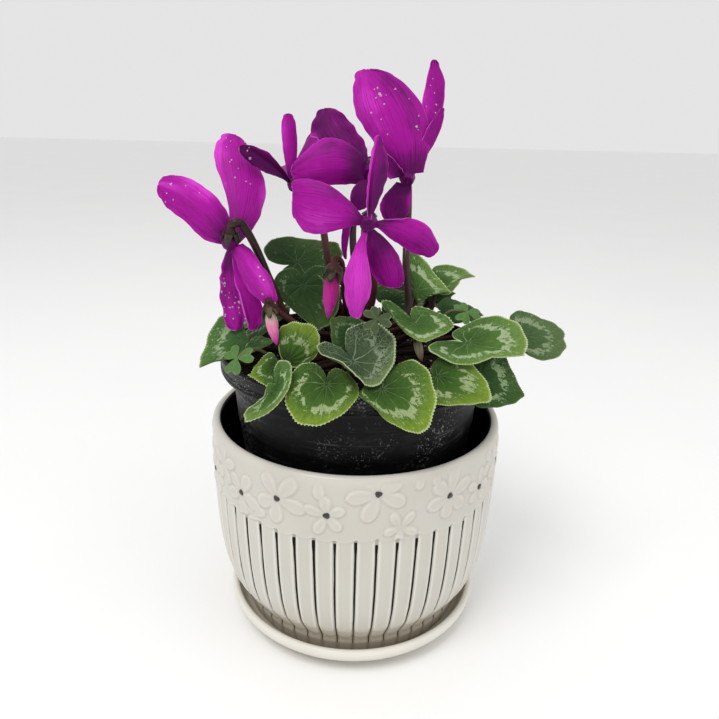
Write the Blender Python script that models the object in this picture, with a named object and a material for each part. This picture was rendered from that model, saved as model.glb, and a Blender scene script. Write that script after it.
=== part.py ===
import math

import bmesh
import bpy
import numpy as np

# A potted cyclamen: the plant stands in its black nursery pot, inside a fluted ceramic
# planter, on a ceramic saucer. Sizes and places are millimetres until a mesh is made.
# The origin lies under the middle of the saucer, +Z is up and -Y is the front.

MM = 0.001
GAP = 0.3
ROUND_GAP = 0.4

# Saucer
SAUCER_FOOT = 60.0
SAUCER_RADIUS = 79.2
SAUCER_HEIGHT = 16.0
SAUCER_FLOOR = 6.5

# Planter
PLANTER_RADIUS = 86.0
PLANTER_BORE = 80.0
PLANTER_TOP = 130.3
PLANTER_BASE = SAUCER_FLOOR + GAP
PLANTER_FLOOR = 14.0
DRAIN_RADIUS = 7.0
FLUTES = 50
FLUTE_TOP = 92.0
FLUTE_FOOT = 28.0
FLUTE_DEPTH = 1.5
FLUTE_SCALLOP = 2.5
GROOVE_HALF_WIDTH = 1.3
LEDGE_WAVE = 1.5
FIRST_GROOVE = math.radians(0.9)
DAISY_RELIEF = 1.2

# Nursery pot
POT_BASE = PLANTER_FLOOR + GAP
POT_TOP = 170.0
POT_FOOT_RADIUS = 54.0
POT_SHOULDER_RADIUS = 72.8
POT_RIM_RADIUS = 79.2
POT_RIM_BAND = 11.0
POT_WALL = 1.6

# Soil and tuber
SOIL_TOP = 159.0
TUBER_RADIUS = 23.0
TUBER_HALF_HEIGHT = 12.0

# Foliage and petals
BLADE_THICKNESS = 0.8
PETAL_THICKNESS = 0.9
PETIOLE_RADII = [1.9, 1.7, 1.5, 1.4, 1.2, 1.0]
CROWN_RING = 15.5
STALK_RADIUS = 2.2
HOLE_DEPTH = 5.0
TUBE_RADIUS = 4.2
TUBE_LENGTH = 4.0
RIM_REACH = 3.2
SPRIG_THICKNESS = 0.8
SPRIG_STEM_RADIUS = 1.0

# Each blade hangs on six points: where its stalk meets it, its tip, the widest point of
# either side and the end of either lobe. full is how round its two shoulders are.
LEAVES = {
    "leaf_01": dict(stalk=(-36, 8, 217), tip=(-13, 20, 226), left=(-45, 26, 228), right=(-18, 2, 211),
                    left_lobe=(-56, 17, 221), right_lobe=(-40, -2, 207), full=(0.7, 0.7)),
    "leaf_02": dict(stalk=(-30, -18, 209), tip=(-21, -27, 187), left=(-10, -19, 202), right=(-44, -18, 204),
                    left_lobe=(-18, -10, 218), right_lobe=(-42, -13, 216), full=(0.4, 0.7), foot=10),
    "leaf_03": dict(stalk=(-61, -34, 182), tip=(-84, -34, 167), left=(-66, -36, 173), right=(-81, -20, 183),
                    left_lobe=(-58, -36, 179), right_lobe=(-69, -17, 191), full=(0.9, 0.9)),
    "leaf_04": dict(stalk=(-55, -43, 182), tip=(-46, -25, 181), left=(-55, -28, 183), right=(-49, -40, 181),
                    left_lobe=(-57, -41, 183), right_lobe=(-56, -51, 181), full=(0.5, 0.5)),
    "leaf_05": dict(stalk=(-35, -50, 178), tip=(-21, -38, 192), left=(-39, -41, 193), right=(-22, -46, 178),
                    left_lobe=(-40, -47, 184), right_lobe=(-32, -52, 175), full=(0.9, 0.3)),
    "leaf_06": dict(stalk=(-41, -63, 179), tip=(-53, -62, 174), left=(-47, -67, 172), right=(-48, -55, 180),
                    left_lobe=(-39, -69, 173), right_lobe=(-41, -56, 182), full=(1.4, 1.4)),
    "leaf_07": dict(stalk=(-38, -83, 174), tip=(-51, -88, 161), left=(-30, -81, 181), right=(-47, -86, 169),
                    left_lobe=(-37, -75, 186), right_lobe=(-42, -83, 175), full=(1.5, 0.1),
                    via=(-34, -69, 176)),
    "leaf_08": dict(stalk=(-14, -80, 177), tip=(-16, -90, 161), left=(1, -76, 172), right=(-33, -81, 172),
                    left_lobe=(-6, -66, 178), right_lobe=(-25, -71, 184), full=(1.1, 1.0)),
    "leaf_09": dict(stalk=(-2, -59, 181), tip=(4, -84, 179), left=(19, -60, 189), right=(-9, -64, 183),
                    left_lobe=(2, -44, 197), right_lobe=(-20, -53, 187), full=(1.0, 0.5)),
    "leaf_10": dict(stalk=(-5, -42, 188), tip=(-15, -31, 194), left=(-13, -43, 184), right=(-2, -28, 195),
                    left_lobe=(-8, -48, 182), right_lobe=(3, -37, 190), full=(0.5, 0.5)),
    "leaf_11": dict(stalk=(12, -82, 176), tip=(30, -90, 157), left=(35, -70, 180), right=(6, -83, 169),
                    left_lobe=(18, -66, 182), right_lobe=(2, -76, 173), full=(0.8, 0.3)),
    "leaf_12": dict(stalk=(29, -45, 197), tip=(34, -55, 191), left=(49, -43, 196), right=(19, -41, 197),
                    left_lobe=(36, -36, 203), right_lobe=(13, -32, 206), full=(0.6, 0.3), foot=-12),
    "leaf_13": dict(stalk=(33, -10, 206), tip=(52, -3, 204), left=(37, 8, 220), right=(40, -7, 203),
                    left_lobe=(27, 6, 221), right_lobe=(32, -12, 201), full=(1.0, 0.5), via=(31, -13, 190)),
    "leaf_14": dict(stalk=(45, 2, 208), tip=(66, 11, 210), left=(59, 17, 214), right=(56, 3, 205),
                    left_lobe=(43, 12, 214), right_lobe=(45, -2, 203), full=(1.2, 0.5), via=(42, -3, 193)),
    "leaf_15": dict(stalk=(41, 6, 199), tip=(57, 10, 200), left=(50, 14, 202), right=(49, 3, 196),
                    left_lobe=(39, 11, 201), right_lobe=(39, 4, 197), full=(0.5, 0.5)),
    "leaf_16": dict(stalk=(48, -20, 197), tip=(69, -18, 195), left=(57, -9, 200), right=(54, -25, 192),
                    left_lobe=(46, -12, 201), right_lobe=(43, -25, 194), full=(0.9, 0.5)),
    "leaf_17": dict(stalk=(55, -53, 190), tip=(86, -49, 183), left=(74, -37, 200), right=(47, -66, 184),
                    left_lobe=(53, -47, 197), right_lobe=(35, -61, 191), full=(0.9, -1.7)),
    "leaf_18": dict(stalk=(91, -22, 185), tip=(117, -13, 181), left=(99, -7, 193), right=(103, -28, 173),
                    left_lobe=(85, -14, 194), right_lobe=(89, -26, 180), full=(1.3, 1.3)),
    "leaf_19": dict(stalk=(39, -69, 178), tip=(65, -67, 164), left=(54, -57, 184), right=(37, -75, 166),
                    left_lobe=(41, -60, 185), right_lobe=(31, -74, 172), full=(1.1, 0.4)),
    "leaf_20": dict(stalk=(62, -57, 173), tip=(87, -50, 161), left=(75, -40, 183), right=(67, -62, 159),
                    left_lobe=(64, -46, 184), right_lobe=(57, -63, 166), full=(0.6, 0.8), via=(55, -51, 176)),
    "leaf_21": dict(stalk=(17, -8, 199), tip=(29, 1, 203), left=(16, 2, 206), right=(29, -7, 196),
                    left_lobe=(10, -3, 203), right_lobe=(16, -13, 192), full=(0.5, 0.5)),
}

# The leaves that close the mound at the back follow a rule: turn is measured from +X.
BACK_LEAVES = {
    "leaf_22": dict(turn=8, reach=74, rise=184, length=30, width=38, dip=30),
    "leaf_23": dict(turn=36, reach=58, rise=190, length=29, width=37, dip=24),
    "leaf_24": dict(turn=62, reach=66, rise=190, length=31, width=39, dip=30),
    "leaf_25": dict(turn=86, reach=60, rise=197, length=28, width=36, dip=24),
    "leaf_26": dict(turn=113, reach=69, rise=184, length=30, width=37, dip=32),
    "leaf_27": dict(turn=137, reach=44, rise=190, length=29, width=34, dip=20),
    "leaf_28": dict(turn=168, reach=64, rise=183, length=29, width=35, dip=28),
    "leaf_29": dict(turn=76, reach=26, rise=212, length=26, width=33, dip=6),
    "leaf_30": dict(turn=188, reach=52, rise=188, length=24, width=32, dip=30),
}

# A petal runs from the rim of the tube through the middle of its length to its tip, and left
# and right are its widest points. blunt is how square its end is, base its width at the root.
BLOOMS = {
    "bloom_1": dict(mouth=(-65, -35, 234), axis=(-0.15, 0.3, -0.95), petals=[
        dict(tip=(-68, 8, 285), middle=(-62, -10, 260),
             left=(-78, -4, 270), right=(-51, 2, 262), blunt=0.3),
        dict(tip=(-101, -28, 261), middle=(-82, -33, 251),
             left=(-82, -29, 265), right=(-88, -32, 243), blunt=0.9),
        dict(tip=(-65, -30, 187), middle=(-67, -32, 211),
             left=(-73, -29, 205), right=(-60, -31, 206), blunt=0.7),
        dict(tip=(-44, -40, 205), middle=(-52, -43, 222),
             left=(-44, -40, 220), right=(-59, -39, 214), blunt=0.6),
        dict(tip=(-55, -35, 189), middle=(-59, -37, 208),
             left=(-50, -33, 201), right=(-61, -36, 199), blunt=0.5),
    ]),
    "bloom_2": dict(mouth=(-38, 18, 259), axis=(-0.8, 0.4, -0.4), petals=[
        dict(tip=(-63, -12, 279), middle=(-52, -2, 274),
             left=(-53, -3, 278), right=(-55, -3, 269), blunt=0.3),
        dict(tip=(-41, 22, 297), middle=(-40, 20, 278),
             left=(-45, 21, 284), right=(-36, 22, 284), blunt=0.6),
        dict(tip=(-24, 38, 292), middle=(-32, 30, 277),
             left=(-34, 38, 280), right=(-20, 30, 281), blunt=0.6),
        dict(tip=(-14, 42, 262), middle=(-25, 32, 264),
             left=(-28, 42, 266), right=(-13, 28, 266), blunt=0.6),
        dict(tip=(-52, 48, 266), middle=(-45, 33, 266),
             left=(-56, 35, 267), right=(-40, 44, 271), blunt=0.6),
    ]),
    "bloom_3": dict(mouth=(5, 8, 268), axis=(0.0, -0.8, -0.5), petals=[
        dict(tip=(-21, 20, 300), middle=(-14, 14, 285),
             left=(-28, 18, 283), right=(-3, 17, 289), blunt=0.6),
        dict(tip=(-38, 4, 267), middle=(-15, 1, 274),
             left=(-21, 4, 261), right=(-21, 7, 285), blunt=0.6, base=0.5),
        dict(tip=(-8, 10, 219), middle=(-7, 10, 242),
             left=(-10, 10, 235), right=(-6, 10, 233), blunt=0.5),
        dict(tip=(-3, 5, 248), middle=(2, 5, 257),
             left=(-5, 5, 258), right=(6, 5, 252), blunt=0.6),
        dict(tip=(29, 30, 293), middle=(20, 17, 283),
             left=(15, 27, 288), right=(29, 20, 283), blunt=0.7),
    ]),
    "bloom_4": dict(mouth=(4, -46, 247), axis=(0.0, -0.95, -0.3), petals=[
        dict(tip=(-33, -39, 257), middle=(-13, -48, 255),
             left=(-22, -42, 240), right=(-20, -42, 267), blunt=0.7, base=0.4),
        dict(tip=(8, -38, 287), middle=(6, -43, 268),
             left=(4, -44, 273), right=(13, -36, 273), blunt=0.3),
        dict(tip=(38, -42, 233), middle=(23, -48, 244),
             left=(30, -44, 248), right=(21, -43, 236), blunt=0.5),
        dict(tip=(17, -34, 213), middle=(12, -42, 231),
             left=(22, -38, 226), right=(3, -40, 229), blunt=0.8),
        dict(tip=(-1, -50, 201), middle=(-1, -53, 227),
             left=(7, -48, 217), right=(-8, -48, 219), blunt=0.3),
    ]),
    "bloom_5": dict(mouth=(25, 2, 265), axis=(0.0, -0.8, -0.6), petals=[
        dict(tip=(2, 7, 319), middle=(17, -1, 292),
             left=(-4, 7, 296), right=(34, 6, 300), blunt=0.9, base=0.35),
        dict(tip=(37, 14, 325), middle=(37, 10, 296),
             left=(32, 10, 306), right=(44, 14, 307), blunt=0.2),
        dict(tip=(42, 3, 301), middle=(36, 3, 284),
             left=(32, 1, 285), right=(41, 4, 288), blunt=0.4),
        dict(tip=(19, 6, 240), middle=(20, 4, 252),
             left=(28, 6, 251), right=(11, 6, 251), blunt=0.7),
        dict(tip=(11, -5, 278), middle=(17, -4, 271),
             left=(14, -3, 266), right=(20, -5, 272), blunt=0.5),
    ]),
}

# A stalk runs through its points, from the crown of the tuber to the back of its bloom.
STALKS = {
    "bloom_1": [(-9, 1, 176), (-26, -11, 182), (-38, -22, 192), (-46, -28, 213), (-53, -33, 233),
                (-58, -38, 244), (-61, -40, 245)],
    "bloom_2": [(-6, 7, 178), (-13, -1, 200), (-18, -3, 225), (-22, 4, 246), (-26, 11, 259)],
    "bloom_3": [(2, 8, 178), (-1, 5, 205), (-4, 12, 232), (-2, 22, 254), (2, 25, 270)],
    "bloom_4": [(-1, -9, 176), (5, -19, 192), (8, -29, 214), (3, -32, 232), (3, -31, 246)],
    "bloom_5": [(8, -4, 176), (16, -16, 186), (25, -18, 192), (28, -15, 200), (26, -9, 216),
                (26, -3, 228), (27, 9, 240), (27, 15, 255), (26, 19, 270)],
}

# A bud hangs by its hooked stalk: neck is where its petals start.
BUDS = {
    "bud_1": dict(neck=(-13, -31, 220), tip=(-16, -32, 195), radius=4.3,
                  stalk=[(0, 0, 178), (-6, -12, 192), (-8, -24, 212), (-9, -28, 224), (-12, -30, 227)]),
    "bud_2": dict(neck=(-45, -44, 201), tip=(-41, -48, 185), radius=3.2,
                  stalk=[(-6, -6, 176), (-13, -19, 182), (-25, -30, 187), (-40, -40, 200), (-45, -43, 207)]),
    "bud_3": dict(neck=(31, -38, 186), tip=(34, -43, 176), radius=2.4,
                  stalk=[(5, -8, 176), (14, -21, 184), (27, -31, 191)]),
}

# Wood sorrel that came up in the soil: each sprig has three heart-shaped leaflets.
SPRIGS = {
    "sorrel_1": dict(stem=[(12, -33), (12, -35, 184), (11, -41, 203), (9, -58, 203)],
                     face=(0.0, -0.7, 0.7), turn=80, size=7),
    "sorrel_2": dict(stem=[(-40, -39), (-46, -44, 178), (-53, -52, 184), (-60, -57, 181)],
                     face=(-0.3, -0.6, 0.7), turn=200, size=8),
    "sorrel_3": dict(stem=[(36, -23), (41, -28, 188), (48, -31, 200), (57, -34, 201)],
                     face=(0.1, -0.5, 0.8), turn=80, size=7),
}

# Daisies of the planter's band: turn from the front in degrees (+X side positive), height, size.
DAISIES = [(-44, 107, 14), (-27, 113, 14), (-9, 109, 10), (8, 122, 15), (16, 102, 8), (35, 113, 14),
           (52, 108, 10), (70, 114, 15), (92, 106, 13), (112, 114, 15), (131, 104, 12), (150, 114, 15),
           (170, 105, 13), (190, 115, 15), (209, 104, 12), (229, 113, 15), (249, 105, 13), (268, 114, 15),
           (287, 106, 11), (301, 116, 12)]


def clear_scene():
    for obj in list(bpy.data.objects):
        bpy.data.objects.remove(obj, do_unlink=True)


def material(name, colour, roughness, metallic=0.0):
    made = bpy.data.materials.new(name)
    made.use_nodes = True
    shader = made.node_tree.nodes["Principled BSDF"]
    shader.inputs["Base Color"].default_value = (*colour, 1.0)
    shader.inputs["Roughness"].default_value = roughness
    shader.inputs["Metallic"].default_value = metallic
    return made


def solid(name, points, faces, finish, smooth=True):
    mesh = bpy.data.meshes.new(name)
    mesh.from_pydata([tuple(float(c) * MM for c in p) for p in points], [], faces)
    shaped = bmesh.new()
    shaped.from_mesh(mesh)
    bmesh.ops.recalc_face_normals(shaped, faces=shaped.faces)
    shaped.to_mesh(mesh)
    shaped.free()
    if smooth:
        mesh.shade_smooth()
        mesh.set_sharp_from_angle(angle=math.radians(40))
    obj = bpy.data.objects.new(name, mesh)
    obj.data.materials.append(finish)
    bpy.context.scene.collection.objects.link(obj)
    return obj


def apply_boolean(target, operation, tools, solver="EXACT"):
    group = bpy.data.collections.new(target.name + "_tools")
    bpy.context.scene.collection.children.link(group)
    for tool in tools:
        bpy.context.scene.collection.objects.unlink(tool)
        group.objects.link(tool)
    modifier = target.modifiers.new(operation.lower(), "BOOLEAN")
    modifier.operation = operation
    modifier.operand_type = "COLLECTION"
    modifier.collection = group
    modifier.solver = solver
    bpy.context.view_layer.objects.active = target
    bpy.ops.object.modifier_apply(modifier=modifier.name)
    for tool in tools:
        bpy.data.objects.remove(tool, do_unlink=True)
    bpy.data.collections.remove(group)


# Turned bodies

def turned(name, profile, columns, finish, shape=None):
    # profile runs from the middle of the underside, up the outside and back to the middle
    # of the inside. A profile that never touches the axis closes on itself as a ring.
    # columns is a count for the whole body, or a count for each point of the profile.
    counts = [columns] * len(profile) if isinstance(columns, int) else columns
    ring = profile[0][0] > 0
    points = []
    rows = []
    for step, (radius, height) in enumerate(profile):
        if radius == 0:
            rows.append([len(points)])
            points.append((0, 0, height))
            continue
        row = []
        for column in range(counts[step]):
            turn = 2 * math.pi * column / counts[step]
            r, z = radius, height
            if shape:
                turn, r, z = shape(step, turn, radius, height)
            row.append(len(points))
            points.append((r * math.sin(turn), -r * math.cos(turn), z))
        rows.append(row)
    faces = []
    pairs = list(zip(rows, rows[1:]))
    if ring:
        pairs.append((rows[-1], rows[0]))
    for low, high in pairs:
        faces += band(low, high)
    return solid(name, points, faces, finish)


def band(low, high):
    # triangles between two rings, of which one may have fewer points or be a single point
    count = max(len(low), len(high))

    def corner(ring, k):
        return ring[-(-k * len(ring) // count) % len(ring)]

    faces = []
    for k in range(count):
        a, b, c, d = corner(low, k), corner(low, k + 1), corner(high, k), corner(high, k + 1)
        faces += [face for face in ((a, b, d), (a, d, c)) if len(set(face)) == 3]
    return faces


def make_saucer(finish):
    profile = [(0, 0), (SAUCER_FOOT, 0), (66, 1.2), (74, 5.5), (78.4, 10), (SAUCER_RADIUS, 13),
               (78.4, 15.4), (76.8, SAUCER_HEIGHT), (75.2, 15.4), (74.4, 12.5), (72.8, 8.6),
               (70.2, SAUCER_FLOOR), (0, SAUCER_FLOOR)]
    return turned("saucer", profile, 36, finish)


def daisy_relief(turn, height):
    # how far the daisies stand out of the band: five petals around each centre
    relief = 0.0
    for middle, level, size in DAISIES:
        across = (math.degrees(turn) - middle + 180) % 360 - 180
        x, z = math.radians(across) * PLANTER_RADIUS, height - level
        reach = math.hypot(x, z) / size
        petal = 0.62 + 0.38 * math.cos(5 * math.atan2(z, x) + middle)
        relief = max(relief, DAISY_RELIEF * min(1.0, max(0.0, 3.0 * (petal - reach))))
    return relief


def make_planter(finish):
    profile = [(DRAIN_RADIUS, 10.0), (60, 10.0), (61, PLANTER_BASE), (68, PLANTER_BASE), (70, 14), (72.5, 24),
               (77.0, FLUTE_FOOT), (79.5, 33), (82.2, 45), (84.5, 62), (85.7, FLUTE_TOP - 5)]
    foot = 6
    panels = range(foot + 1, len(profile))
    profile += [(PLANTER_RADIUS, FLUTE_TOP + 5 * k) for k in range(8)]
    relief = range(panels.stop, len(profile))
    profile += [(84.4, PLANTER_TOP), (81.6, PLANTER_TOP), (PLANTER_BORE, 128.5), (79.4, 60),
                (74, 26), (66, PLANTER_FLOOR), (DRAIN_RADIUS, PLANTER_FLOOR)]
    columns = [FLUTES // 2] * 4 + [FLUTES] * 2 + [2 * FLUTES] + [3 * FLUTES] * len(panels)
    columns += [2 * FLUTES] * len(relief) + [FLUTES] * 3 + [FLUTES // 2] * 4
    pitch = 2 * math.pi / FLUTES

    def shape(step, turn, radius, height):
        if step in panels:
            # three columns a flute: its groove and the two edges of its flat face
            flute, place = divmod(round(3 * turn / pitch), 3)
            edge = GROOVE_HALF_WIDTH / PLANTER_RADIUS
            turn = FIRST_GROOVE + flute * pitch + (0, edge, pitch - edge)[place]
            return turn, radius - (FLUTE_DEPTH if place == 0 else 0), height
        groove = round(2 * turn / pitch) % 2 == 0
        turn += FIRST_GROOVE
        if step == foot and groove:
            return turn, radius - FLUTE_DEPTH, height
        if step == foot:
            return turn, radius, height - FLUTE_SCALLOP
        if step == relief.start and groove:
            height += LEDGE_WAVE
        if step in relief:
            radius += daisy_relief(turn, height)
        return turn, radius, height

    return turned("planter", profile, columns, finish, shape)


def make_nursery_pot(finish):
    rim_low = POT_TOP - POT_RIM_BAND
    profile = [(0, POT_BASE + 1.5), (49, POT_BASE + 1.5), (51, POT_BASE), (POT_FOOT_RADIUS, POT_BASE),
               (POT_FOOT_RADIUS + 1.5, POT_BASE + 4), (70.8, 133), (POT_SHOULDER_RADIUS, rim_low),
               (POT_RIM_RADIUS - 0.4, rim_low), (POT_RIM_RADIUS, POT_TOP - 5),
               (POT_RIM_RADIUS + 0.4, POT_TOP - 0.8), (POT_RIM_RADIUS - 0.8, POT_TOP),
               (POT_RIM_RADIUS - 1.8, POT_TOP - 0.8), (POT_RIM_RADIUS - 2.0, rim_low + 1.6),
               (POT_SHOULDER_RADIUS - POT_WALL, rim_low), (POT_FOOT_RADIUS - 0.4, POT_BASE + 4.5),
               (POT_FOOT_RADIUS - 3, POT_BASE + 3), (0, POT_BASE + 3)]
    pot = turned("nursery_pot", profile, 30, finish)
    drills = []
    for hole in range(5):
        angle = 2 * math.pi * (hole + 0.3) / 5
        spot = (38 * math.cos(angle), 38 * math.sin(angle))
        drills.append(pin((*spot, POT_BASE - 3), (*spot, POT_BASE + 8), 4.5, 6, finish))
    apply_boolean(pot, "DIFFERENCE", drills)
    return pot


def pot_bore(height):
    # inner radius of the nursery pot's wall at a height
    low, high = POT_BASE + 4.5, POT_TOP - POT_RIM_BAND
    share = (height - low) / (high - low)
    return POT_FOOT_RADIUS - 0.4 + share * (POT_SHOULDER_RADIUS - POT_WALL - POT_FOOT_RADIUS + 0.4)


def tuber_surface(radius, side=1):
    # height of the tuber's upper side, or of its lower side where side is -1
    share = min(radius / TUBER_RADIUS, 1.0)
    return SOIL_TOP + side * TUBER_HALF_HEIGHT * math.sqrt(1 - share * share)


def lump(turn, radius):
    return 0.9 * math.sin(3 * turn + radius / 9) + 0.7 * math.sin(7 * turn - radius / 5)


def make_soil(finish):
    base = POT_BASE + 3 + GAP
    hollow = TUBER_RADIUS + 1.0
    hollow_floor = SOIL_TOP - TUBER_HALF_HEIGHT - GAP
    profile = [(0, base), (POT_FOOT_RADIUS - 4, base), (POT_FOOT_RADIUS - 1.2, base + 2.4),
               (pot_bore(SOIL_TOP - 4) - ROUND_GAP, SOIL_TOP - 4),
               (pot_bore(SOIL_TOP - 3) - 1.0, SOIL_TOP - 1),
               (60, SOIL_TOP), (45, SOIL_TOP), (32, SOIL_TOP), (hollow + 0.6, SOIL_TOP - 1.0),
               (hollow, SOIL_TOP - 5), (0.85 * hollow, SOIL_TOP - 9), (0.35 * hollow, hollow_floor),
               (0, hollow_floor)]

    def lumps(step, turn, radius, height):
        if step in (5, 6, 7):
            height += lump(turn, radius)
        return turn, radius, height

    soil = turned("soil", profile, 20, finish, lumps)
    holes = []
    for row in SPRIGS.values():
        foot = np.array([*row["stem"][0], SOIL_TOP])
        holes.append(pin(foot - (0, 0, 9), foot + (0, 0, 9), SPRIG_STEM_RADIUS + ROUND_GAP, 8, finish))
    apply_boolean(soil, "DIFFERENCE", holes)
    return soil


# Tubes and paths

def smooth_path(points, steps):
    # Catmull-Rom curve through the points
    points = [np.array(p, float) for p in points]
    full = [2 * points[0] - points[1]] + points + [2 * points[-1] - points[-2]]
    path = []
    for i in range(len(points) - 1):
        a, b, c, d = full[i:i + 4]
        for step in range(steps):
            t = step / steps
            path.append(0.5 * (2 * b + (c - a) * t + (2 * a - 5 * b + 4 * c - d) * t * t
                               + (3 * b - a - 3 * c + d) * t ** 3))
    path.append(points[-1])
    return path


def tube(name, path, radii, sides, finish):
    path = [np.array(p, float) for p in path]
    points = []
    rows = []
    side = None
    for i, centre in enumerate(path):
        ahead = path[min(i + 1, len(path) - 1)] - path[max(i - 1, 0)]
        ahead /= np.linalg.norm(ahead)
        if side is None:
            side = np.cross(ahead, (0.3, 1.0, 0.2))
        side = side - ahead * (side @ ahead)
        side /= np.linalg.norm(side)
        other = np.cross(ahead, side)
        row = []
        for k in range(sides):
            angle = 2 * math.pi * k / sides
            row.append(len(points))
            points.append(centre + radii[i] * (math.cos(angle) * side + math.sin(angle) * other))
        rows.append(row)
    faces = []
    for low, high in zip(rows, rows[1:]):
        for k in range(sides):
            n = (k + 1) % sides
            faces.append((low[k], low[n], high[n]))
            faces.append((low[k], high[n], high[k]))
    for row, centre in ((rows[0], path[0]), (rows[-1], path[-1])):
        middle = len(points)
        points.append(centre)
        for k in range(sides):
            faces.append((row[k], row[(k + 1) % sides], middle))
    return solid(name, points, faces, finish)


def pin(low, high, radius, sides, finish):
    return tube("pin", [low, high], [radius, radius], sides, finish)


# Leaves

SPOKES = [0, 20, 43, 68, 94, 120, 145, 165, 180, -165, -145, -120, -94, -68, -43, -20]
TURNS = [0, 10, 25, 45, 80, 115, 140, 158, 172, 180]
ROUND_REACH = [1.0, 0.995, 0.985, 0.96, 0.90, 0.87, 0.81, 0.70, 0.36, 0.06]
POINTED_REACH = [1.0, 0.92, 0.86, 0.86, 0.90, 0.87, 0.81, 0.70, 0.36, 0.06]


def leaf_reach(turn, full):
    # distance from the stalk to the edge of a unit leaf, turn being in degrees from the tip
    share = full[0] if turn > 0 else full[1]
    rounded = np.interp(abs(turn), TURNS, ROUND_REACH)
    pointed = np.interp(abs(turn), TURNS, POINTED_REACH)
    return share * rounded + (1 - share) * pointed


def leaf_spot(turn, full=(1.0, 1.0)):
    reach = leaf_reach(turn, full)
    return reach * math.cos(math.radians(turn)), reach * math.sin(math.radians(turn))


def leaf_terms(u, v):
    return np.array([1.0, u, v, u * u, u * v, v * v])


LEAF_SPOTS = [(0, 0)] + [leaf_spot(turn) for turn in (0, 80, -80, 140, -140)]
LEAF_PINS = np.linalg.inv(np.array([leaf_terms(*spot) for spot in LEAF_SPOTS]))


def leaf_sheet(row):
    # a curved sheet of the second degree through the leaf's six points
    keys = ("stalk", "tip", "left", "right", "left_lobe", "right_lobe")
    spots = np.array([row[key] for key in keys], float)
    weights = LEAF_PINS @ spots
    return lambda u, v: leaf_terms(u, v) @ weights


def sheet_normal(sheet, u, v, step=0.02):
    along = sheet(u + step, v) - sheet(u - step, v)
    across = sheet(u, v + step) - sheet(u, v - step)
    normal = np.cross(along, across)
    return normal / np.linalg.norm(normal)


def plate(name, middle, normals, triangles, border, thickness, finish):
    # a closed blade: two faces with the same triangles, joined along the border
    count = len(middle)
    half = thickness / 2
    points = [p + n * half for p, n in zip(middle, normals)]
    points += [p - n * half for p, n in zip(middle, normals)]
    faces = [tuple(t) for t in triangles] + [(c + count, b + count, a + count) for a, b, c in triangles]
    for a, b in zip(border, border[1:] + border[:1]):
        faces.append((b, a, a + count))
        faces.append((b, a + count, b + count))
    return solid(name, points, faces, finish)


def make_blade(name, row, finish):
    # the stalk's spot, an inner ring on every second spoke and the edge on every spoke
    sheet = leaf_sheet(row)
    spots = [(0.0, 0.0)]
    for turns, share in ((SPOKES[::2], 0.55), (SPOKES, 1.0)):
        for turn in turns:
            u, v = leaf_spot(turn, row["full"])
            spots.append((u * share, v * share))
    middle = [sheet(u, v) for u, v in spots]
    normals = [sheet_normal(sheet, u, v) for u, v in spots]
    inner = list(range(1, 1 + len(SPOKES) // 2))
    edge = list(range(1 + len(inner), len(spots)))
    triangles = band([0], inner) + band(inner, edge)
    return plate(name, middle, normals, triangles, edge, BLADE_THICKNESS, finish)


def rosette_leaf(turn, reach, rise, length, width, dip):
    # a leaf that points outwards from the middle of the pot and droops to its tip
    turn, dip = math.radians(turn), math.radians(dip)
    outward = np.array([math.cos(turn), math.sin(turn), 0.0])
    along = outward * math.cos(dip) - np.array([0, 0, math.sin(dip)])
    across = np.array([-outward[1], outward[0], 0.0])
    up = np.cross(along, across)
    stalk = outward * reach + np.array([0, 0, rise])
    side = width / 2
    row = dict(stalk=stalk, tip=stalk + along * length - up * 4)
    for key, sign in (("left", 1), ("right", -1)):
        row[key] = stalk + along * 0.15 * length + across * sign * side - up * 3
        row[key + "_lobe"] = stalk - along * 0.55 * length + across * sign * 0.55 * side - up * 1
    row["full"] = (0.6, 0.6)
    return row


def all_leaves():
    rows = dict(LEAVES)
    for name, rule in BACK_LEAVES.items():
        rows[name] = rosette_leaf(**rule)
    return rows


def petiole_path(row):
    # from the crown of the tuber, up and out, to the underside of the blade
    sheet = leaf_sheet(row)
    end = np.array(row["stalk"], float)
    normal = sheet_normal(sheet, 0, 0)
    seat = end - normal * (BLADE_THICKNESS / 2 + ROUND_GAP)
    turn = math.atan2(end[1], end[0]) + math.radians(row.get("foot", 0))
    start = np.array([CROWN_RING * math.cos(turn), CROWN_RING * math.sin(turn),
                      tuber_surface(CROWN_RING) - 3])
    neck = seat - normal * 2.5
    if "via" in row:
        way = np.array(row["via"], float) - start
        return [start, start + 0.35 * way, start + 0.7 * way, start + way, neck, seat]
    span = neck - start
    first = start + np.array([0.3 * span[0], 0.3 * span[1], 0.6 * span[2]])
    last = neck - normal * 0.25 * np.linalg.norm(span)
    path = []
    for k in range(5):
        t = k / 4
        s = 1 - t
        path.append(s ** 3 * start + 3 * s * s * t * first + 3 * s * t * t * last + t ** 3 * neck)
    return path + [seat]


def make_tuber(finish):
    steps = 5
    arc = [math.pi / 2 * k / steps for k in range(1, steps)]
    low = [(TUBER_RADIUS * math.sin(a), tuber_surface(TUBER_RADIUS * math.sin(a), -1)) for a in arc]
    high = [(TUBER_RADIUS * math.sin(a), tuber_surface(TUBER_RADIUS * math.sin(a))) for a in arc]
    profile = [(0, tuber_surface(0, -1)), *low, (TUBER_RADIUS, SOIL_TOP), *reversed(high),
               (0, tuber_surface(0))]
    tuber = turned("tuber", profile, 16, finish)
    petioles = [tube("petiole", petiole_path(row), PETIOLE_RADII, 4, finish)
                for row in all_leaves().values()]
    apply_boolean(tuber, "UNION", petioles)
    holes = []
    for points in [*STALKS.values(), *(bud["stalk"] for bud in BUDS.values())]:
        foot = stalk_foot(points)
        holes.append(pin(foot - (0, 0, GAP), foot + (0, 0, 20), STALK_RADIUS + ROUND_GAP, 8, finish))
    apply_boolean(tuber, "DIFFERENCE", holes)
    return tuber


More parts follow.
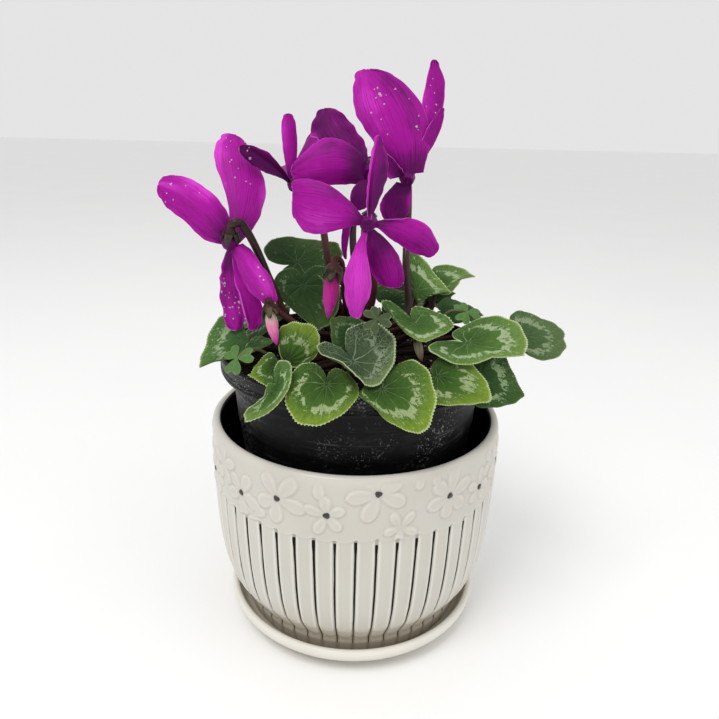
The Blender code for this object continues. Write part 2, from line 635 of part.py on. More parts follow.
# Blooms and buds

PETAL_STATIONS = [0.0, 0.12, 0.3, 0.48, 0.62, 0.76, 0.88, 0.96, 1.0]
BLUNT_WIDTHS = [0.24, 0.40, 0.68, 0.93, 1.0, 0.97, 0.82, 0.55, 0.0]
SLIM_WIDTHS = [0.24, 0.40, 0.72, 0.97, 1.0, 0.84, 0.54, 0.26, 0.0]
PETAL_ROWS = [0.0, 0.2, 0.42, 0.66, 0.88]
PETAL_COLUMNS = [-1.0, -0.5, 0.0, 0.5, 1.0]


def petal_terms(u, v):
    return np.array([1.0, u, v, u * u, v * v])


PETAL_SPOTS = [(0, 0), (1, 0), (0.5, 0), (0.62, 1), (0.62, -1)]
PETAL_PINS = np.linalg.inv(np.array([petal_terms(*spot) for spot in PETAL_SPOTS]))


def petal_sheet(row):
    spots = np.array([row[key] for key in ("root", "tip", "middle", "left", "right")], float)
    weights = PETAL_PINS @ spots
    return lambda u, v: petal_terms(u, v) @ weights


def petal_width(row, u):
    blunt = row["blunt"] * np.interp(u, PETAL_STATIONS, BLUNT_WIDTHS)
    slim = (1 - row["blunt"]) * np.interp(u, PETAL_STATIONS, SLIM_WIDTHS)
    return max(blunt + slim, row.get("base", 0) * (1 - 2 * u))


def make_petal(row, finish):
    sheet = petal_sheet(row)
    spots = []
    for u in PETAL_ROWS:
        for v in PETAL_COLUMNS:
            spots.append((u, v * petal_width(row, u)))
    spots.append((1.0, 0.0))
    middle = [sheet(u, v) for u, v in spots]
    normals = [sheet_normal(sheet, u, v) for u, v in spots]
    wide = len(PETAL_COLUMNS)
    triangles = []
    for r in range(len(PETAL_ROWS) - 1):
        for c in range(wide - 1):
            a = r * wide + c
            triangles += [(a, a + wide, a + wide + 1), (a, a + wide + 1, a + 1)]
    last = (len(PETAL_ROWS) - 1) * wide
    tip = len(spots) - 1
    for c in range(wide - 1):
        triangles.append((last + c, tip, last + c + 1))
    left = [r * wide for r in range(len(PETAL_ROWS))]
    right = [r * wide + wide - 1 for r in range(len(PETAL_ROWS))]
    border = list(range(wide)) + right[1:] + [tip] + left[:0:-1]
    return plate("petal", middle, normals, triangles, border[::-1], PETAL_THICKNESS, finish)


def unit(vector):
    vector = np.array(vector, float)
    return vector / np.linalg.norm(vector)


def bloom_seat(row):
    # the flat back of the bloom's tube, where the calyx sits
    return np.array(row["mouth"], float) - unit(row["axis"]) * TUBE_LENGTH


def petal_root(row, petal):
    # petals spring from the rim of the tube, on the side that they grow to
    axis = unit(row["axis"])
    mouth = np.array(row["mouth"], float)
    way = np.array(petal["middle"], float) - mouth
    way -= axis * (way @ axis)
    return mouth + unit(way) * RIM_REACH


def make_bloom(name, row, finish):
    axis = unit(row["axis"])
    mouth = np.array(row["mouth"], float)
    back = bloom_seat(row)
    core = tube(name, [back, back + axis * 1.5, mouth + axis * 1.0, mouth + axis * 3.0],
                [TUBE_RADIUS - 0.8, TUBE_RADIUS, TUBE_RADIUS, TUBE_RADIUS - 1.2], 8, finish)
    petals = [make_petal(dict(petal, root=petal_root(row, petal)), finish) for petal in row["petals"]]
    apply_boolean(core, "UNION", petals)
    return core


def stalk_foot(points):
    # the straight end of a stalk, sunk in its hole in the crown
    x, y, _ = points[0]
    return np.array([x, y, tuber_surface(math.hypot(x, y)) - HOLE_DEPTH])


def stalk_route(points):
    return [stalk_foot(points), *smooth_path(points, 2)]


def make_stalk(name, row, points, finish):
    # the stalk, with the calyx as a flare at its end
    axis = unit(row["axis"])
    seat = bloom_seat(row) - axis * GAP
    path = stalk_route([*points, tuple(seat - axis * 6.0)])
    path += [seat - axis * 4.0, seat - axis * 1.5, seat]
    radii = [STALK_RADIUS] * (len(path) - 3) + [2.6, 3.3, 2.9]
    return tube(name + "_stalk", path, radii, 6, finish)


def make_bud(name, row, finish):
    neck, tip = np.array(row["neck"], float), np.array(row["tip"], float)
    stations = [0.0, 0.12, 0.35, 0.6, 0.82, 1.0]
    swell = [0.75, 0.92, 1.0, 0.85, 0.5, 0.15]
    path = [neck + (tip - neck) * t for t in stations]
    return tube(name, path, [row["radius"] * s for s in swell], 8, finish)


def make_bud_stalk(name, row, finish):
    neck, tip = np.array(row["neck"], float), np.array(row["tip"], float)
    axis = unit(tip - neck)
    seat = neck - axis * GAP
    slim = 0.7 * STALK_RADIUS
    path = stalk_route(row["stalk"]) + [seat - axis * 4.5, seat - axis * 2.0, seat]
    radii = [slim] * (len(path) - 3) + [row["radius"] * s for s in (0.7, 1.05, 0.95)]
    return tube(name + "_stalk", path, radii, 6, finish)


# Sorrel sprigs

HALF_LEAFLET = [(0.30, 0.28), (0.80, 0.55), (1.08, 0.32)]
LEAFLET_END = (0.86, 0.0)
LEAFLET_GAP = (0.06, 0.104)
LEAFLET_FOLD = 0.18


def make_sprig(name, row, finish):
    # three heart-shaped leaflets in one plate, folded along their middles, on a thin stem
    foot = np.array([*row["stem"][0], SOIL_TOP - 7.0])
    path = [foot, *smooth_path([foot + (0, 0, 12), *row["stem"][1:]], 2)]
    stem = tube(name, path, [SPRIG_STEM_RADIUS] * len(path), 4, finish)
    head = path[-1] - unit(path[-1] - path[-2]) * 0.5
    normal = unit(row["face"])
    side = unit(np.cross(normal, (0.3, 1.0, 0.2)))
    other = np.cross(normal, side)
    outline = []
    right = [(u, -v) for u, v in HALF_LEAFLET]
    for k in range(3):
        turn = math.radians(row["turn"] + 120 * k)
        along = side * math.cos(turn) + other * math.sin(turn)
        across = np.cross(normal, along)
        for u, v in [*right, LEAFLET_END, *reversed(HALF_LEAFLET), LEAFLET_GAP]:
            outline.append(head + row["size"] * (along * u + across * v - normal * LEAFLET_FOLD * abs(v)))
    edge = list(range(len(outline)))
    triangles = [(len(outline), a, b) for a, b in zip(edge, edge[1:] + edge[:1])]
    middle = [*outline, head]
    leaflets = plate("leaflets", middle, [normal] * len(middle), triangles, edge, SPRIG_THICKNESS, finish)
    apply_boolean(stem, "UNION", [leaflets])
    return stem


def build():
    clear_scene()
    glaze = material("white_glaze", (0.80, 0.77, 0.70), 0.28)
    plastic = material("black_plastic", (0.015, 0.015, 0.016), 0.45)
    earth = material("soil", (0.06, 0.04, 0.03), 0.95)
    bark = material("tuber_and_petioles", (0.16, 0.06, 0.04), 0.65)
    green = material("leaf", (0.08, 0.20, 0.04), 0.5)
    magenta = material("petal", (0.52, 0.02, 0.42), 0.45)
    red_stalk = material("flower_stalk", (0.12, 0.03, 0.03), 0.5)
    clover = material("sorrel", (0.10, 0.20, 0.07), 0.6)
    make_saucer(glaze)
    make_planter(glaze)
    make_nursery_pot(plastic)
    make_soil(earth)
    make_tuber(bark)
    for name, row in all_leaves().items():
        make_blade(name, row, green)
    for name, row in BLOOMS.items():
        make_bloom(name, row, magenta)
        make_stalk(name, row, STALKS[name], red_stalk)
    for name, row in BUDS.items():
        make_bud(name, row, magenta)
        make_bud_stalk(name, row, red_stalk)
    for name, row in SPRIGS.items():
        make_sprig(name, row, clover)


build()
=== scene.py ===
import math

import bpy
import numpy as np
from mathutils import Matrix, Vector


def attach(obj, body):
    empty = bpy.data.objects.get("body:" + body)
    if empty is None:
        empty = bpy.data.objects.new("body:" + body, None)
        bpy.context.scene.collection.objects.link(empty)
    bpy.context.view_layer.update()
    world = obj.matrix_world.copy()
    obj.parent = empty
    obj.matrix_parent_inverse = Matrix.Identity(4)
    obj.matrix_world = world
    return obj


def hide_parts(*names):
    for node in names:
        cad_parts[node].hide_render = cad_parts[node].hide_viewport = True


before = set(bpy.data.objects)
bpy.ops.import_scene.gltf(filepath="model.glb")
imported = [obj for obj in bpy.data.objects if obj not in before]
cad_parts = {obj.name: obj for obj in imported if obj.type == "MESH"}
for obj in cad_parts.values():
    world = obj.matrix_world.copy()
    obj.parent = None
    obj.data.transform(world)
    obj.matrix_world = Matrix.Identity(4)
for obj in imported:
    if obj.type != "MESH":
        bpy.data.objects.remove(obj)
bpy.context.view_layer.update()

# A potted cyclamen. Places are written in millimetres, with +Z up and -Y to the front,
# and become metres when a mesh gets its shape.
mm = 0.001
print("frame loaded:", len(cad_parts), "nodes")


# Meshes

def alone(piece):
    # leaves only this piece selected and active
    bpy.ops.object.select_all(action="DESELECT")
    piece.select_set(True)
    bpy.context.view_layer.objects.active = piece


def sheetOf(name, columns, rows):
    # a flat grid from -1 to 1, which the caller bends into shape
    bpy.ops.object.select_all(action="DESELECT")
    bpy.ops.mesh.primitive_grid_add(x_subdivisions=columns, y_subdivisions=rows, size=2)
    piece = bpy.context.object
    piece.name = name
    piece.data.name = name
    return piece


def pointsOf(piece):
    flat = np.empty(len(piece.data.vertices) * 3)
    piece.data.vertices.foreach_get("co", flat)
    return flat.reshape(-1, 3)


def place(piece, points):
    # gives every vertex its place, in millimetres
    piece.data.vertices.foreach_set("co", (np.asarray(points, float) * mm).ravel())
    piece.data.update()


def close(piece, distance=0.002):
    # merges the seam and the poles and turns the faces outwards
    alone(piece)
    bpy.ops.object.mode_set(mode="EDIT")
    bpy.ops.mesh.select_all(action="SELECT")
    bpy.ops.mesh.remove_doubles(threshold=distance * mm)
    bpy.ops.mesh.normals_make_consistent(inside=False)
    bpy.ops.object.mode_set(mode="OBJECT")


def smooth(piece, angle=50):
    alone(piece)
    bpy.ops.object.shade_smooth_by_angle(angle=math.radians(angle))


def modify(piece, kind, **values):
    alone(piece)
    modifier = piece.modifiers.new(kind.lower(), kind)
    for key, value in values.items():
        setattr(modifier, key, value)
    bpy.ops.object.modifier_apply(modifier=modifier.name)


def thicken(piece, thickness, materials):
    # top, underside and rim each take their own slot
    for skin in materials:
        piece.data.materials.append(skin)
    extra = len(materials) - 1
    modify(piece, "SOLIDIFY", thickness=thickness * mm, offset=0.0, use_quality_normals=True,
           material_offset=min(extra, 1), material_offset_rim=extra)


def joined(name, parts):
    bpy.ops.object.select_all(action="DESELECT")
    for part in parts:
        part.select_set(True)
    bpy.context.view_layer.objects.active = parts[0]
    bpy.ops.object.join()
    piece = bpy.context.object
    piece.name = name
    piece.data.name = name
    return piece


def mount(piece, slot, *nodes):
    # everything belongs to the one body, and most pieces stand in for a plain CAD node
    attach(piece, "root")
    if nodes:
        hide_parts(*nodes)


def turned(name, profile, columns, shape=None, coat=None):
    # a turned body: profile is (radius, height), turn is 0 at the front and grows towards +X.
    # shape bends it, and coat paints it while its grid is still whole.
    piece = sheetOf(name, columns, len(profile) - 1)
    flat = pointsOf(piece)
    step = np.rint((flat[:, 1] + 1) / 2 * (len(profile) - 1)).astype(int)
    turn = (flat[:, 0] + 1) * math.pi
    plain, height = np.array(profile, float)[step].T
    radius = plain
    if shape:
        radius, height = shape(turn, radius, height, step)
    if coat:
        coat(piece, turn, radius - plain, height, step)
    place(piece, np.stack([radius * np.sin(turn), -radius * np.cos(turn), height], 1))
    close(piece)
    return piece


def paint(piece, name, values):
    layer = piece.data.attributes.new(name, "FLOAT", "POINT")
    layer.data.foreach_set("value", np.asarray(values, float))


def rounded(points, steps=6):
    # a smooth curve that passes through the points, in so many steps between each two
    points = [np.array(p, float) for p in points]
    full = [2 * points[0] - points[1]] + points + [2 * points[-1] - points[-2]]
    path = []
    for a, b, c, d in zip(full, full[1:], full[2:], full[3:]):
        for t in np.arange(steps) / steps:
            path.append(0.5 * (2 * b + (c - a) * t + (2 * a - 5 * b + 4 * c - d) * t * t
                               + (3 * b - a - 3 * c + d) * t ** 3))
    return path + [points[-1]]


def unit(vector):
    vector = np.array(vector, float)
    return vector / np.linalg.norm(vector)


def tubeOf(name, path, radii, sides, shape=None):
    # a round stem along a path, closed at both ends where its radius is 0
    path = np.array(path, float)
    ahead = np.gradient(path, axis=0)
    ahead /= np.linalg.norm(ahead, axis=1)[:, None] + 1e-9
    across = np.zeros_like(path)
    side = np.cross(ahead[0], (0.3, 1.0, 0.2))
    for k, way in enumerate(ahead):
        side = side - way * (side @ way)
        side /= np.linalg.norm(side)
        across[k] = side
    other = np.cross(ahead, across)
    piece = sheetOf(name, sides, len(path) - 1)
    flat = pointsOf(piece)
    step = np.rint((flat[:, 1] + 1) / 2 * (len(path) - 1)).astype(int)
    turn = (flat[:, 0] + 1) * math.pi
    radius = np.array(radii, float)[step]
    if shape:
        radius = shape(turn, radius, step / (len(path) - 1))
    ring = across[step] * np.cos(turn)[:, None] + other[step] * np.sin(turn)[:, None]
    place(piece, path[step] + ring * radius[:, None])
    close(piece)
    return piece


def lookup(value, places, amounts):
    return np.interp(value, places, amounts)


def bump(value, middle, reach):
    return np.exp(-((value - middle) / reach) ** 2)


def ripple(a, b, seed):
    # a smooth wandering value between about -1 and 1
    return (np.sin(2.1 * a + 1.3 * b + seed) + np.sin(3.7 * b - 1.9 * a + 2.3 * seed)
            + np.sin(5.3 * a + 4.1 * b + 3.1 * seed)) / 3


# Shader helpers

class Field:
    # a value that changes over the surface, so that a pattern is written in sums and products
    def __init__(self, socket):
        self.socket = socket

    def __add__(self, other):
        return calc("ADD", self, other)

    def __sub__(self, other):
        return calc("SUBTRACT", self, other)

    def __rsub__(self, other):
        return calc("SUBTRACT", other, self)

    def __mul__(self, other):
        return calc("MULTIPLY", self, other)

    def __abs__(self):
        return calc("ABSOLUTE", self)

    __radd__ = __add__
    __rmul__ = __mul__


def add(tree, kind, **values):
    made = tree.nodes.new(kind)
    for key, value in values.items():
        setattr(made, key, value)
    return made


def feed(socket, value):
    # links a field to a socket, or sets a plain value on it
    if isinstance(value, Field):
        socket.id_data.links.new(value.socket, socket)
    else:
        socket.default_value = value


def treeOf(*values):
    return next(value.socket.id_data for value in values if isinstance(value, Field))


def calc(operation, *values):
    made = add(treeOf(*values), "ShaderNodeMath", operation=operation)
    for socket, value in zip(made.inputs, values):
        feed(socket, value)
    return Field(made.outputs[0])


def most(first, *others):
    for other in others:
        first = calc("MAXIMUM", first, other)
    return first


def clamped(value):
    # the last sum or product, kept between 0 and 1
    value.socket.node.use_clamp = True
    return value


def ease(value, low, high, start=0.0, end=1.0):
    # goes smoothly from start to end as value goes from low to high
    made = add(treeOf(value), "ShaderNodeMapRange", interpolation_type="SMOOTHSTEP")
    for socket, given in zip(made.inputs, (value, low, high, start, end)):
        feed(socket, given)
    return Field(made.outputs[0])


def blend(share, first, second, mode="MIX"):
    made = add(treeOf(share, first, second), "ShaderNodeMix", data_type="RGBA", blend_type=mode)
    feed(made.inputs[0], share)
    for socket, given in zip((made.inputs[6], made.inputs[7]), (first, second)):
        feed(socket, given if isinstance(given, Field) else (*given, 1.0))
    return Field(made.outputs[2])


def cloud(vector, scale, detail=3.0, roughness=0.55, stretch=None, output="Fac"):
    # noise, drawn out by stretch where it has one
    tree = treeOf(vector)
    if stretch:
        mapping = add(tree, "ShaderNodeMapping")
        feed(mapping.inputs["Vector"], vector)
        feed(mapping.inputs["Scale"], stretch)
        vector = Field(mapping.outputs[0])
    made = add(tree, "ShaderNodeTexNoise")
    for key, value in (("Vector", vector), ("Scale", scale), ("Detail", detail), ("Roughness", roughness)):
        feed(made.inputs[key], value)
    return Field(made.outputs[output])


def objectPlace(tree):
    return Field(add(tree, "ShaderNodeTexCoord").outputs["Object"])


def uvPlace(tree, name):
    return Field(add(tree, "ShaderNodeUVMap", uv_map=name).outputs[0])


def attribute(tree, name):
    return Field(add(tree, "ShaderNodeAttribute", attribute_name=name).outputs["Fac"])


def split(vector):
    made = add(treeOf(vector), "ShaderNodeSeparateXYZ")
    feed(made.inputs[0], vector)
    return [Field(output) for output in made.outputs]


def group(name, inputs, outputs):
    # a node group with named sockets: its tree, its inputs as fields, and its outputs to feed
    tree = bpy.data.node_groups.new(name, "ShaderNodeTree")
    for label, kind in inputs:
        tree.interface.new_socket(name=label, in_out="INPUT", socket_type="NodeSocket" + kind)
    for label, kind in outputs:
        tree.interface.new_socket(name=label, in_out="OUTPUT", socket_type="NodeSocket" + kind)
    given = {socket.name: Field(socket) for socket in add(tree, "NodeGroupInput").outputs}
    return tree, given, add(tree, "NodeGroupOutput").inputs


def useGroup(tree, name, **values):
    made = add(tree, "ShaderNodeGroup", node_tree=bpy.data.node_groups[name])
    for key, value in values.items():
        feed(made.inputs[key], value)
    return {socket.name: Field(socket) for socket in made.outputs}


def finish(name, **values):
    # a material with its Principled shader, whose plain values are set on the sockets
    made = bpy.data.materials.new(name)
    made.use_nodes = True
    shader = made.node_tree.nodes["Principled BSDF"]
    for key, value in values.items():
        shader.inputs[key].default_value = value
    return made, made.node_tree, shader


def wear(shader, shade, roughness=None):
    feed(shader.inputs["Base Color"], shade)
    if roughness:
        feed(shader.inputs["Roughness"], roughness)


def emboss(shader, height, strength, distance):
    made = add(treeOf(height), "ShaderNodeBump")
    made.inputs["Strength"].default_value = strength
    made.inputs["Distance"].default_value = distance
    feed(made.inputs["Height"], height)
    feed(shader.inputs["Normal"], Field(made.outputs[0]))


def veinNet(flat):
    # a net of fine veins, pulled about by noise, and a chance for each of its cells
    tree = treeOf(flat)
    pull = add(tree, "ShaderNodeVectorMath", operation="MULTIPLY_ADD")
    noise = cloud(flat, 5.0, 2.0, 0.5, output="Color")
    for socket, value in zip(pull.inputs, (noise, (0.16, 0.16, 0.0), flat)):
        feed(socket, value)
    nets = [add(tree, "ShaderNodeTexVoronoi", feature=feature, voronoi_dimensions="2D")
            for feature in ("DISTANCE_TO_EDGE", "F1")]
    for net in nets:
        feed(net.inputs["Vector"], Field(pull.outputs[0]))
        net.inputs["Scale"].default_value = 11.0
    threads = 1.0 - ease(Field(nets[0].outputs["Distance"]), 0.015, 0.10)
    chance, _, _ = split(Field(nets[1].outputs["Color"]))
    return threads, chance


leafShades = ("Deep", "Green", "Margin", "Silver", "Vein", "Edge")


def buildLeafPattern():
    # veins UV: x * 10 - 5 is a whole number on each main vein, y is 0 at the stalk and 1 at the edge
    inputs = [*((shade, "Color") for shade in leafShades), ("Veining", "Float")]
    tree, given, out = group("leafPattern", inputs,
                             [("Colour", "Color"), ("Roughness", "Float"), ("Height", "Float")])
    flat = uvPlace(tree, "flat")
    across, ring, _ = split(uvPlace(tree, "veins"))
    drift = cloud(flat, 2.2, 2.0)
    fine = cloud(flat, 9.0, 4.0, 0.65)
    grit = cloud(flat, 34.0, 3.0, 0.6)
    threads, chance = veinNet(flat)

    apart = calc("PINGPONG", abs(across * 10.0 - 5.35 + drift * 0.7), 0.5)
    mainVein = 1.0 - ease(apart * 0.56 * ring, 0.0, ease(ring, 0.0, 0.9, 0.026, 0.010))
    mainVein = mainVein * ease(ring, 0.98, 0.6) * ease(ring, 0.01, 0.12)
    chevron = calc("PINGPONG", ring * 3.4 - apart * 3.0 + fine * 0.9, 0.5)
    sideVein = (1.0 - ease(chevron, 0.0, 0.06)) * ease(ring, 0.12, 0.4)

    # the silver ring: a clean inner edge, and an outer one that breaks up into cells and threads
    silver = attribute(tree, "silver")
    inner = ease(ring - (apart * 0.10 - drift * 0.55 + 0.84), -0.015, 0.03)
    some = silver + (fine - 0.5) * 2.4 + (grit - 0.5) * 1.2 + (chance - 0.5) * 0.6
    some = some - ease(ring, 0.62, 0.86, 0.0, 0.85) - ease(apart, 0.11, 0.02, 0.0, 0.45) - threads * 0.22
    patch = clamped(inner * ease(some, 0.42, 0.60) * (grit * 0.9 + 0.42))
    tendril = most(sideVein, threads) * ease(silver * 0.8 + fine * 0.8 - 0.75, 0.0, 0.35)
    tendril = tendril * inner * ease(ring, 0.97, 0.80)

    # dark at the heart and in the lobes, and lighter to the tip: partly the leaf's own colouring, with
    # painted shade on the lobes and painted light towards the tip
    forward = attribute(tree, "forward")
    shade = blend(ease(forward * 0.5 + drift * 0.6 + ring * 0.8, 0.10, 1.20), given["Deep"], given["Green"])
    shade = blend(ease(forward * 0.35 + fine * 0.3 + ring, 0.92, 1.50), shade, given["Margin"])
    grain = clamped(grit * 0.55 + fine * 0.6)
    shade = blend(1.0, shade, blend(grain, (0.45, 0.45, 0.45), (1.5, 1.5, 1.4)), "MULTIPLY")
    netted = threads * ease(ring, 0.3, 0.8, 0.08, 0.42)
    veinShare = most(mainVein * 0.85, sideVein * 0.22, netted, tendril * 0.8)
    shade = blend(clamped(given["Veining"] * veinShare), shade, given["Vein"])
    shade = blend(clamped(patch * 0.95), shade, given["Silver"])
    beads = ease(attribute(tree, "tooth"), 0.35, 0.9) * ease(ring, 0.945, 0.985)
    beads = most(beads, ease(fine * 0.03 + ring, 0.99, 1.005, 0.0, 0.7))
    feed(out["Colour"], blend(beads, shade, given["Edge"]))
    feed(out["Roughness"], fine * 0.25 + 0.36)
    feed(out["Height"], fine * 0.8 - most(mainVein, threads * 0.5))


def buildDust():
    # pale specks and level scratches on dark plastic, thicker where the broad noise lies high
    tree, _, out = group("dust", [], [("Mask", "Float")])
    spot = objectPlace(tree)
    where = cloud(spot, 24.0, 3.0, 0.6)
    dots = ease(cloud(spot, 750.0, 2.0, 0.7), 0.585, 0.66) * ease(where, 0.44, 0.60)
    scratches = ease(cloud(spot, 45.0, 6.0, 0.7, (0.35, 0.35, 14.0)), 0.56, 0.70)
    scratches = scratches * ease(where, 0.36, 0.6, 0.0, 0.4)
    haze = ease(cloud(spot, 60.0, 5.0, 0.65, (1.0, 1.0, 2.0)), 0.5, 0.85, 0.0, 0.10)
    feed(out["Mask"], clamped(most(dots, scratches) + haze))


def buildFleck():
    # soft uneven colour for skins, stems and glazes
    tree, given, out = group("fleck", [("Scale", "Float")], [("Broad", "Float"), ("Fine", "Float")])
    spot = objectPlace(tree)
    feed(out["Broad"], cloud(spot, given["Scale"], 2.0, 0.5))
    feed(out["Fine"], cloud(spot, 700.0, 3.0, 0.6))


buildLeafPattern()
buildDust()
buildFleck()


# Materials

def glazeBase(name, low, high, stain):
    # warm white glaze with fine pinholes, which the caller stains and gives its coat
    made, tree, shader = finish(name, **{"Coat Roughness": 0.14, "Coat Weight": 0.35,
                                         "Specular IOR Level": 0.1})
    soft = useGroup(tree, "fleck", Scale=26.0)
    shade = blend(soft["Broad"], low, high)
    feed(shader.inputs["Roughness"], soft["Fine"] * 0.16 + 0.3)
    emboss(shader, soft["Fine"], 0.12, 0.0004)
    return made, tree, shader, blend(ease(soft["Fine"], 0.70, 0.82, 0.0, 0.25), shade, stain)


def saucerGlaze():
    stain = (0.42, 0.35, 0.25)
    made, tree, shader, shade = glazeBase("whiteGlaze", (0.70, 0.665, 0.59), (0.80, 0.775, 0.71), stain)
    _, _, z = split(objectPlace(tree))
    # darker towards the stain colour below 12.5 mm, on its floor and low on its outside: painted shade under
    # the planter
    wear(shader, blend(ease(z * 1000, 12.5, 5.0, 0.0, 0.55), shade, stain))
    return made


# the pooling and edge colours also paint shade into hollows and highlights onto edges, scallop paints a shade
# line, and ink also paints the inside black as shade
glazeShades = dict(low=(0.545, 0.515, 0.455), high=(0.625, 0.605, 0.55), stain=(0.45, 0.40, 0.32),
                   petals=(0.62, 0.565, 0.515), pooledAndShaded=(0.33, 0.29, 0.23), thin=(0.80, 0.78, 0.72),
                   foot=(0.36, 0.30, 0.21), grooveDarkening=(0.22, 0.17, 0.11), scallop=(0.16, 0.11, 0.06),
                   ink=(0.003, 0.003, 0.003))


def planterGlaze():
    # darker where it pools, partly painted shade, lighter on edges, partly painted highlight, brown towards
    # the foot, with ink in the grooves and the inside painted black as shade
    tones = glazeShades
    made, tree, shader, shade = glazeBase("whiteGlazeInked", tones["low"], tones["high"], tones["stain"])
    poolAndShade, petals, inside = [attribute(tree, name) for name in ("poolAndShade", "petals", "inside")]
    x, y, z = split(objectPlace(tree))
    height = z * 1000
    calm = ease(height, 92, 97, 1.0, 0.45)    # the band is softer than the flutes
    shade = blend(ease(petals, 0.0, 0.5, 0.0, 0.35), shade, tones["petals"])
    # glaze gathering in hollows and thinning on edges, also painted shade in the hollows and painted
    # highlight on the edges
    shade = blend(ease(poolAndShade, 0.02, 0.6, 0.0, 0.55) * calm, shade, tones["pooledAndShaded"])
    shade = blend(ease(poolAndShade, -0.02, -0.6, 0.0, 0.6) * calm, shade, tones["thin"])

    # flute is a whole number in the middle of each groove, and the ink line wanders a little
    flutes, first = planter["flutes"], planter["firstGroove"] / 360 * planter["flutes"]
    wander = cloud(objectPlace(tree), 60.0, 2.0, 0.5, (1.0, 1.0, 0.5))
    flute = calc("ARCTAN2", x, y * -1.0) * (flutes / (2 * math.pi)) + (flutes - first) + (wander - 0.5) * 0.10
    apart = calc("PINGPONG", flute, 0.5)
    chance = add(tree, "ShaderNodeTexWhiteNoise", noise_dimensions="1D")
    feed(chance.inputs["W"], calc("ROUND", flute))
    top = Field(chance.outputs["Value"]) * 3.0 + (planter["fluteTop"] - 2.4)
    thick = wander * 0.04 + 0.032 + ease(height, 84, 90.5, 0.0, 0.024) - ease(height, 55, 22, 0.0, 0.020)
    mark = ease(thick - apart, -0.006, 0.006) * ease(top - height, -0.4, 0.4) * ease(height, 13.5, 16)

    shade = blend(ease(height, 50, 14, 0.0, 0.65), shade, tones["foot"])
    # browner along the grooves, more so below 35 mm
    shade = blend(ease(apart, 0.22, 0.04) * ease(height, 35, 24, 0.0, 0.5), shade, tones["grooveDarkening"])
    # a painted shade line along the scalloped ends of the ribs above the foot
    middle = 0.5 - apart
    scallop = abs(height - 18.5 - middle * middle * 16)
    shade = blend(ease(scallop, 0.7, 0.0) * 0.35, shade, tones["scallop"])
    # the ink lines, and the inner wall painted black as shade
    inkAndShade = most(mark, ease(wander * 0.1 + inside, 0.50, 0.60))
    wear(shader, blend(inkAndShade, shade, tones["ink"]))
    feed(shader.inputs["Coat Weight"], inkAndShade * -0.32 + 0.35)
    return made


def plasticFinish():
    made, tree, shader = finish("blackNurseryPlastic", **{"Specular IOR Level": 0.12})
    mask = useGroup(tree, "dust")["Mask"]
    soft = useGroup(tree, "fleck", Scale=40.0)
    shade = blend(soft["Broad"], (0.0030, 0.0030, 0.0034), (0.008, 0.008, 0.009))
    wear(shader, blend(mask, shade, (0.24, 0.235, 0.23)), mask * 0.35 + 0.40)
    emboss(shader, soft["Fine"], 0.25, 0.0004)
    return made


def soilFinish():
    made, tree, shader = finish("pottingSoil", **{"Specular IOR Level": 0.2})
    spot = objectPlace(tree)
    crumbs = cloud(spot, 420.0, 6.0, 0.7)
    shade = blend(ease(crumbs, 0.35, 0.7), (0.006, 0.004, 0.003), (0.05, 0.032, 0.02))
    shade = blend(ease(cloud(spot, 800.0, 2.0), 0.68, 0.74), shade, (0.34, 0.31, 0.26))
    wear(shader, shade, crumbs * 0.2 + 0.78)
    emboss(shader, crumbs, 0.8, 0.0012)
    return made


def speckledFinish(name, scale, dark, light, roughness=None, **values):
    # two shades in soft specks, for grains, black glaze and dew
    made, tree, shader = finish(name, **values)
    soft = useGroup(tree, "fleck", Scale=scale)
    wear(shader, blend(soft["Broad"], dark, light))
    if roughness:
        feed(shader.inputs["Roughness"], soft["Fine"] * 0.2 + roughness)
    return made


def skinFinish(name, dark, light, scale, roughness, relief, coat=0.0):
    # stems, calyxes and bark: two shades in soft lengthwise patches
    made, tree, shader = finish(name, **{"Coat Weight": coat, "Coat Roughness": 0.2,
                                         "Specular IOR Level": 0.2})
    soft = useGroup(tree, "fleck", Scale=scale)
    wear(shader, blend(ease(soft["Broad"], 0.35, 0.65), dark, light), soft["Fine"] * 0.2 + roughness)
    emboss(shader, soft["Fine"], relief, 0.0006)
    return made


def leafFinish(name, tone):
    made, tree, shader = finish(name, **{"Specular IOR Level": 0.07})
    shades = {key: (*tone[key.lower()], 1.0) for key in leafShades}
    pattern = useGroup(tree, "leafPattern", Veining=tone.get("veining", 1.0), **shades)
    wear(shader, pattern["Colour"], pattern["Roughness"])
    emboss(shader, pattern["Height"], 0.6, 0.0007)
    return made


def underLeafFinish():
    made, tree, shader = finish("leafUnderside", **{"Specular IOR Level": 0.3})
    across, ring, _ = split(uvPlace(tree, "veins"))
    fine = cloud(uvPlace(tree, "flat"), 12.0, 4.0, 0.6)
    vein = 1.0 - ease(calc("PINGPONG", abs(across * 10.0 - 5.0), 0.5) * ring, 0.004, 0.03)
    shade = blend(fine, (0.13, 0.17, 0.06), (0.24, 0.28, 0.10))
    wear(shader, blend(vein * 0.6, shade, (0.32, 0.26, 0.14)), fine * 0.2 + 0.45)
    emboss(shader, vein + fine, 0.3, 0.0005)
    return made


